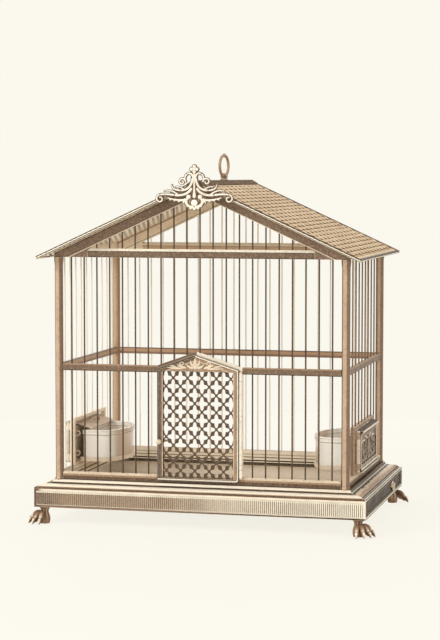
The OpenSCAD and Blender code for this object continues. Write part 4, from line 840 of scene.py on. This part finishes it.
def crestShells(c):
    # half-round strokes over the pierced plate, then the same mirrored
    half = []
    for kind, places, w0, w1 in crestStrokes:
        path = bend(*places) if kind == "bend" else curl(*places)
        half.append(halfRound(path, w0 * c["share"], w1 * c["share"], c["lift"]))
    for k in range(c["combs"]):
        start = np.array([9.5 + 4.6 * k, -18.2 + 0.5 * k])
        aim = np.radians(-52 + 6 * k)
        tip = start + (3.6 - 0.5 * k) * np.array([np.cos(aim), np.sin(aim)])
        half.append(halfRound(bend(start, (start + tip) / 2, tip, 12), 2.4, 0.9, c["lift"]))
    for turn in np.radians([-64, -38, -12]):
        half.append(dome(8.2 * np.cos(turn), -18.2 + 8.2 * np.sin(turn), 1.5, 0.8, 12))
    middle = []
    for x, up, radius, high in crestBosses:
        (half if x else middle).append(dome(x, up, radius, high, 12 if radius < 1.6 else 20))
    for a in np.radians([0, 90, 180, 270]):
        middle.append(dome(2.5 * np.cos(a), 12 + 2.5 * np.sin(a), 1.8, 1.2, 14))
    middle.append(halfRound(bend([0, -16], [0, -2], [0, 8.4], 30), 4.2, 1.9, 0.55,
                            shape=lambda t: 1 - 0.45 * np.sin(np.pi * np.clip(t * 1.2, 0, 1))))
    placed = []
    for rings, signs in [(h, (-1, 1)) for h in half] + [(m, (1,)) for m in middle]:
        for sign in signs:
            placed.append(np.stack([sign * rings[..., 0] * c["grown"], c["front"] - rings[..., 2],
                                    roofLine["ridge"] + rings[..., 1] * c["grown"]], -1))
    return placed


addPiece("crestRelief", crestShells(crest), "cage", "crestPale")
print("the crest is chased")

# Claw feet

foot = {
    "x": 166.0, "y": 109.0, "toes": (-42, -14, 14, 42), "reach": 18.4,
    "leg": [(18.0, 6.0), (17.2, 6.3), (16.4, 5.6), (15.2, 4.6), (13.0, 4.0), (10.5, 4.3), (8.0, 5.2),
            (5.0, 5.7), (2.0, 5.3), (0.0, 4.9)],  # height and radius
    "toe": [(1.0, 8.5), (5.5, 10.2), (9.8, 9.4), (12.8, 6.6), (14.8, 5.0), (16.6, 3.9), (18.2, 2.0),
            (19.2, 0.6)],  # way out and height of its middle line
    "thick": [2.8, 3.3, 3.5, 2.8, 3.0, 2.3, 1.2, 0.35],
    "flutes": 8, "hock": 11,  # grooves round the leg, deepest at the hock's height
}


def footShells(f, sx, sy):
    # leg: rings whose radius follows the profile, fluted round the hock; toes: tubes that arch over a
    # knuckle and end in a curved claw, their soles pressed flat on the floor
    profile = smoothLine(f["leg"], 26)
    angle = np.linspace(0, 2 * np.pi, 40, endpoint=False)
    above = profile[:, :1] - f["hock"]
    wave = np.cos(f["flutes"] * angle)
    flute = 1 + 0.07 * wave * np.exp(-(above / 3.5) ** 2)
    reach = profile[:, 1:] * flute
    high = np.repeat(profile[:, :1], len(angle), 1)
    leg = np.stack([reach * np.cos(angle), reach * np.sin(angle), high], -1)
    # the leg's tone: painted highlight on the flutes' ridges and painted shade in their grooves, round the
    # hock
    shells, tones = [leg], [0.42 + 0.3 * wave * np.exp(-(above / 5) ** 2)]
    line = smoothLine([(*p, t) for p, t in zip(f["toe"], f["thick"])], 34)
    line[:, 0] *= f["reach"] / 20
    for turn in np.radians(f["toes"]):
        out = np.array([np.cos(turn), np.sin(turn), 0])
        path = line[:, :1] * out + line[:, 1:2] * np.array([0, 0, 1])
        toe = roundTube(path, line[:, 2] * 0.86, line[:, 2], np.array([-np.sin(turn), np.cos(turn), 0]))
        ridge = np.abs(np.sin(np.linspace(0, 2 * np.pi, toe.shape[1], endpoint=False))) ** 1.6
        along = np.linspace(0, 1, len(path))[:, None]
        knuckle = 1 - 0.75 * np.exp(-((along - 0.58) / 0.05) ** 2)
        # the toe's tone: painted highlight along its top and underside, painted shade down its sides, at
        # the knuckle and near the leg
        tones.append(0.08 + 0.95 * ridge * np.clip(along * 3 - 0.5, 0.25, 1) * knuckle)
        toe[..., 2] = np.maximum(toe[..., 2], 0)
        shells.append(toe)
    aim = np.arctan2(sy, sx)
    spin = np.array([[np.cos(aim), np.sin(aim), 0], [-np.sin(aim), np.cos(aim), 0], [0, 0, 1]])
    placed = [rings @ spin + [sx * f["x"], sy * f["y"], 0] for rings in shells]
    return placed, np.concatenate([t.ravel() for t in tones])


corners = [("FrontLeft", -1, -1), ("FrontRight", 1, -1), ("BackLeft", -1, 1), ("BackRight", 1, 1)]
for name, sx, sy in corners:
    node = "foot_" + ("front" if sy < 0 else "back") + ("_left" if sx < 0 else "_right")
    shells, shade = footShells(foot, sx, sy)
    addPiece("clawFoot" + name, shells, "cage", "footBrass", stands=[node], tones=shade)
print("the feet are cast")

# Cups

cup = {
    "back": 145.3, "front": -48.3, "wide": 86.0, "deep": 43.8, "corner": 11.0, "bow": 10.0, "foot": 58.55,
    # way in from the outline, and height: up the outside, over the rim and down the inside
    "profile": [(14, 0.0), (3.0, 0.0), (1.6, 0.25), (1.05, 1.0), (1.0, 3.0), (1.0, 26.2), (0.9, 26.8),
                (0.3, 27.2), (0.0, 27.9), (0.0, 28.6), (0.35, 29.1), (0.3, 29.5), (0.0, 30.0), (0.0, 31.2),
                (0.4, 32.0), (1.2, 32.4), (2.2, 32.4), (3.1, 31.9), (3.5, 30.8), (3.6, 28.0), (3.6, 6.5),
                (3.9, 4.6), (5.0, 3.4), (7.0, 3.0), (14, 2.95)],
    "wall": 4.4, "floor": 9.6,  # a ring keeps its way in up to the wall, and past it shrinks to the middle
    "small": 4.6,  # radius of the outer corners
}


def cupOutline(c):
    # plan of the outer wall, anticlockwise from the back: straight back and sides, rounded corners, and a
    # bowed inner end
    small = c["small"]
    half = c["wide"] / 2 - c["corner"]
    bowR = (half ** 2 + c["bow"] ** 2) / (2 * c["bow"])
    swing = np.degrees(np.arcsin(half / bowR))
    innerX = c["back"] - c["deep"] + c["corner"] + c["bow"]
    arcs = [  # middle x, middle y, radius, first and last angle, points
        (c["back"] - small, c["wide"] / 2 - small, small, 0, 90, 10),
        (innerX, half, c["corner"], 90, 180 - swing, 14),
        (innerX - c["bow"] + bowR, 0, bowR + c["corner"], 180 - swing, 180 + swing, 40),
        (innerX, -half, c["corner"], 180 + swing, 270, 14),
        (c["back"] - small, small - c["wide"] / 2, small, 270, 360, 10),
    ]
    angle = np.concatenate([np.radians(np.linspace(a0, a1, n)) for _, _, _, a0, a1, n in arcs])
    centre = np.concatenate([np.repeat([[x, y]], n, 0) for x, y, _, _, _, n in arcs])
    radius = np.concatenate([np.full(n, r) for _, _, r, _, _, n in arcs])
    outward = np.stack([np.cos(angle), np.sin(angle)], 1)
    return centre + radius[:, None] * outward, outward


def cupShell(c, sign):
    # the wall's profile is carried round the outline; its floor draws in towards the middle
    outline, outward = cupOutline(c)
    profile = smoothLine(c["profile"], 120)
    inwards = np.minimum(profile[:, 0], c["wall"])[:, None, None]
    middle = outline.mean(0)
    rings = outline - inwards * outward
    shrink = np.clip((profile[:, 0] - c["wall"]) / c["floor"], 0, 1)[:, None, None] * 0.94
    rings = rings + (middle - rings) * shrink
    height = np.broadcast_to((c["foot"] + profile[:, 1])[:, None, None], rings.shape[:2] + (1,))
    rings = np.concatenate([rings + [0, c["front"] + c["wide"] / 2], height], 2)
    return rings * [sign, 1, 1]


for name, sign, side in (("cupLeft", -1, "left"), ("cupRight", 1, "right")):
    hidden = ["feeder_cup_" + side]
    addPiece(name, [cupShell(cup, sign)], side + "_feeder", "opalGlaze", stands=hidden)
print("the cups are thrown")

# Relief on the feeders' flaps

panel = {
    "face": 157.6, "middleY": -5.3, "middleZ": 78.25,
    "grown": 100 / 110,  # against the drawn strokes
    "lift": 0.75,
    "vase": {"low": -12.5, "high": 11, "wide": 15.5, "lift": 0.16},
}

panelStrokes = [  # back half: kind, its places, width at the start and at the end
    ("curl", (18, 3, 7, 1.6, 200, 420, 60), 2.6, 1.6), ("curl", (31, -4, 7, 1.6, 100, -420, 60), 2.6, 1.6),
    ("bend", ([8, -6], [20, -14], [42, -11]), 2.8, 1.2), ("bend", ([6, 9], [10, 14], [20, 13]), 2.4, 1.0),
    ("bend", ([24, 9], [32, 12], [42, 8]), 2.2, 1.0),
]


def vaseShape(t):
    # narrow at the neck, full in the middle, with a lip above and a foot below
    lip, base = 3.0 * (t - 0.9).clip(0), 2.0 * (0.12 - t).clip(0)
    return 0.30 + 0.62 * np.exp(-((t - 0.52) / 0.2) ** 2) + lip + base


def panelShells(p, sign):
    # a vase between two pairs of scrolls, standing on the flap's sunk panel
    vase = p["vase"]
    up = np.linspace(vase["low"], vase["high"], 40)
    middle = np.stack([0 * up, up], 1)
    strokes = [halfRound(middle, vase["wide"], vase["wide"], vase["lift"], shape=vaseShape)]
    for s in (-1, 1):
        for kind, places, w0, w1 in panelStrokes:
            path = bend(*places) if kind == "bend" else curl(*places)
            strokes.append(halfRound(path * [s, 1], w0, w1, p["lift"]))
        strokes.append(dome(s * 18, 3, 1.6, 0.9, 14))
        strokes.append(dome(s * 31, -4, 1.6, 0.9, 14))
    placed = []
    for rings in strokes:
        along, up = rings[..., 0] * p["grown"], rings[..., 1] * p["grown"]
        out = p["face"] + rings[..., 2]
        placed.append(np.stack([sign * out, p["middleY"] + along, p["middleZ"] + up], -1))
    return placed


for name, sign, side in (("flapReliefLeft", -1, "left"), ("flapReliefRight", 1, "right")):
    addPiece(name, panelShells(panel, sign), side + "_feeder", "reliefBrass")
print("the flaps have their relief")

# Leaf in the door's gable

leaf = {"x": -4.0, "low": 164.9, "face": -107.2, "lift": 0.5}

leafStrokes = [  # right half of the ornament: kind, its places, widths, and whether both ends are pointed
    ("bend", ([0.6, 1.5], [5.5, 6], [4.6, 9.6]), 3.0, 3.0, True),
    ("bend", ([1, 0.8], [7, 1.5], [9.6, 5.6]), 2.8, 2.8, True),
    ("bend", ([9, 1.2], [15, 1.6], [19.5, 5.4]), 2.6, 2.6, True),
    ("bend", ([12, 0.6], [20, 0.4], [31, 1.4]), 2.0, 2.0, True),
    ("curl", (14.6, 5.4, 2.4, 0.8, 200, -380), 1.4, 1.0, False),
    ("bend", ([20, 2.2], [25, 3.4], [30, 3.4]), 1.8, 1.8, True),
]


def leafShells(f):
    # pointed lobes and curls that spread from the middle of the gable's foot, mirrored about it
    stem = bend([0, 0.4], [0, 6], [0, 11.6], 26)
    shells = [halfRound(stem, 4.2, 4.2, 0.35, shape=spindle), dome(0, 1.2, 1.7, 0.9, 16)]
    for kind, places, w0, w1, pointed in leafStrokes:
        path = bend(*places) if kind == "bend" else curl(*places, count=26)
        rings = halfRound(path, w0, w1, f["lift"], shape=spindle if pointed else None)
        shells += [rings, rings * [-1, 1, 1]]
    return [np.stack([f["x"] + r[..., 0], f["face"] - r[..., 2], f["low"] + r[..., 1]], -1) for r in shells]


addPiece("doorLeaf", leafShells(leaf), "front_door", "leafBrass")
print("the door has its leaf")
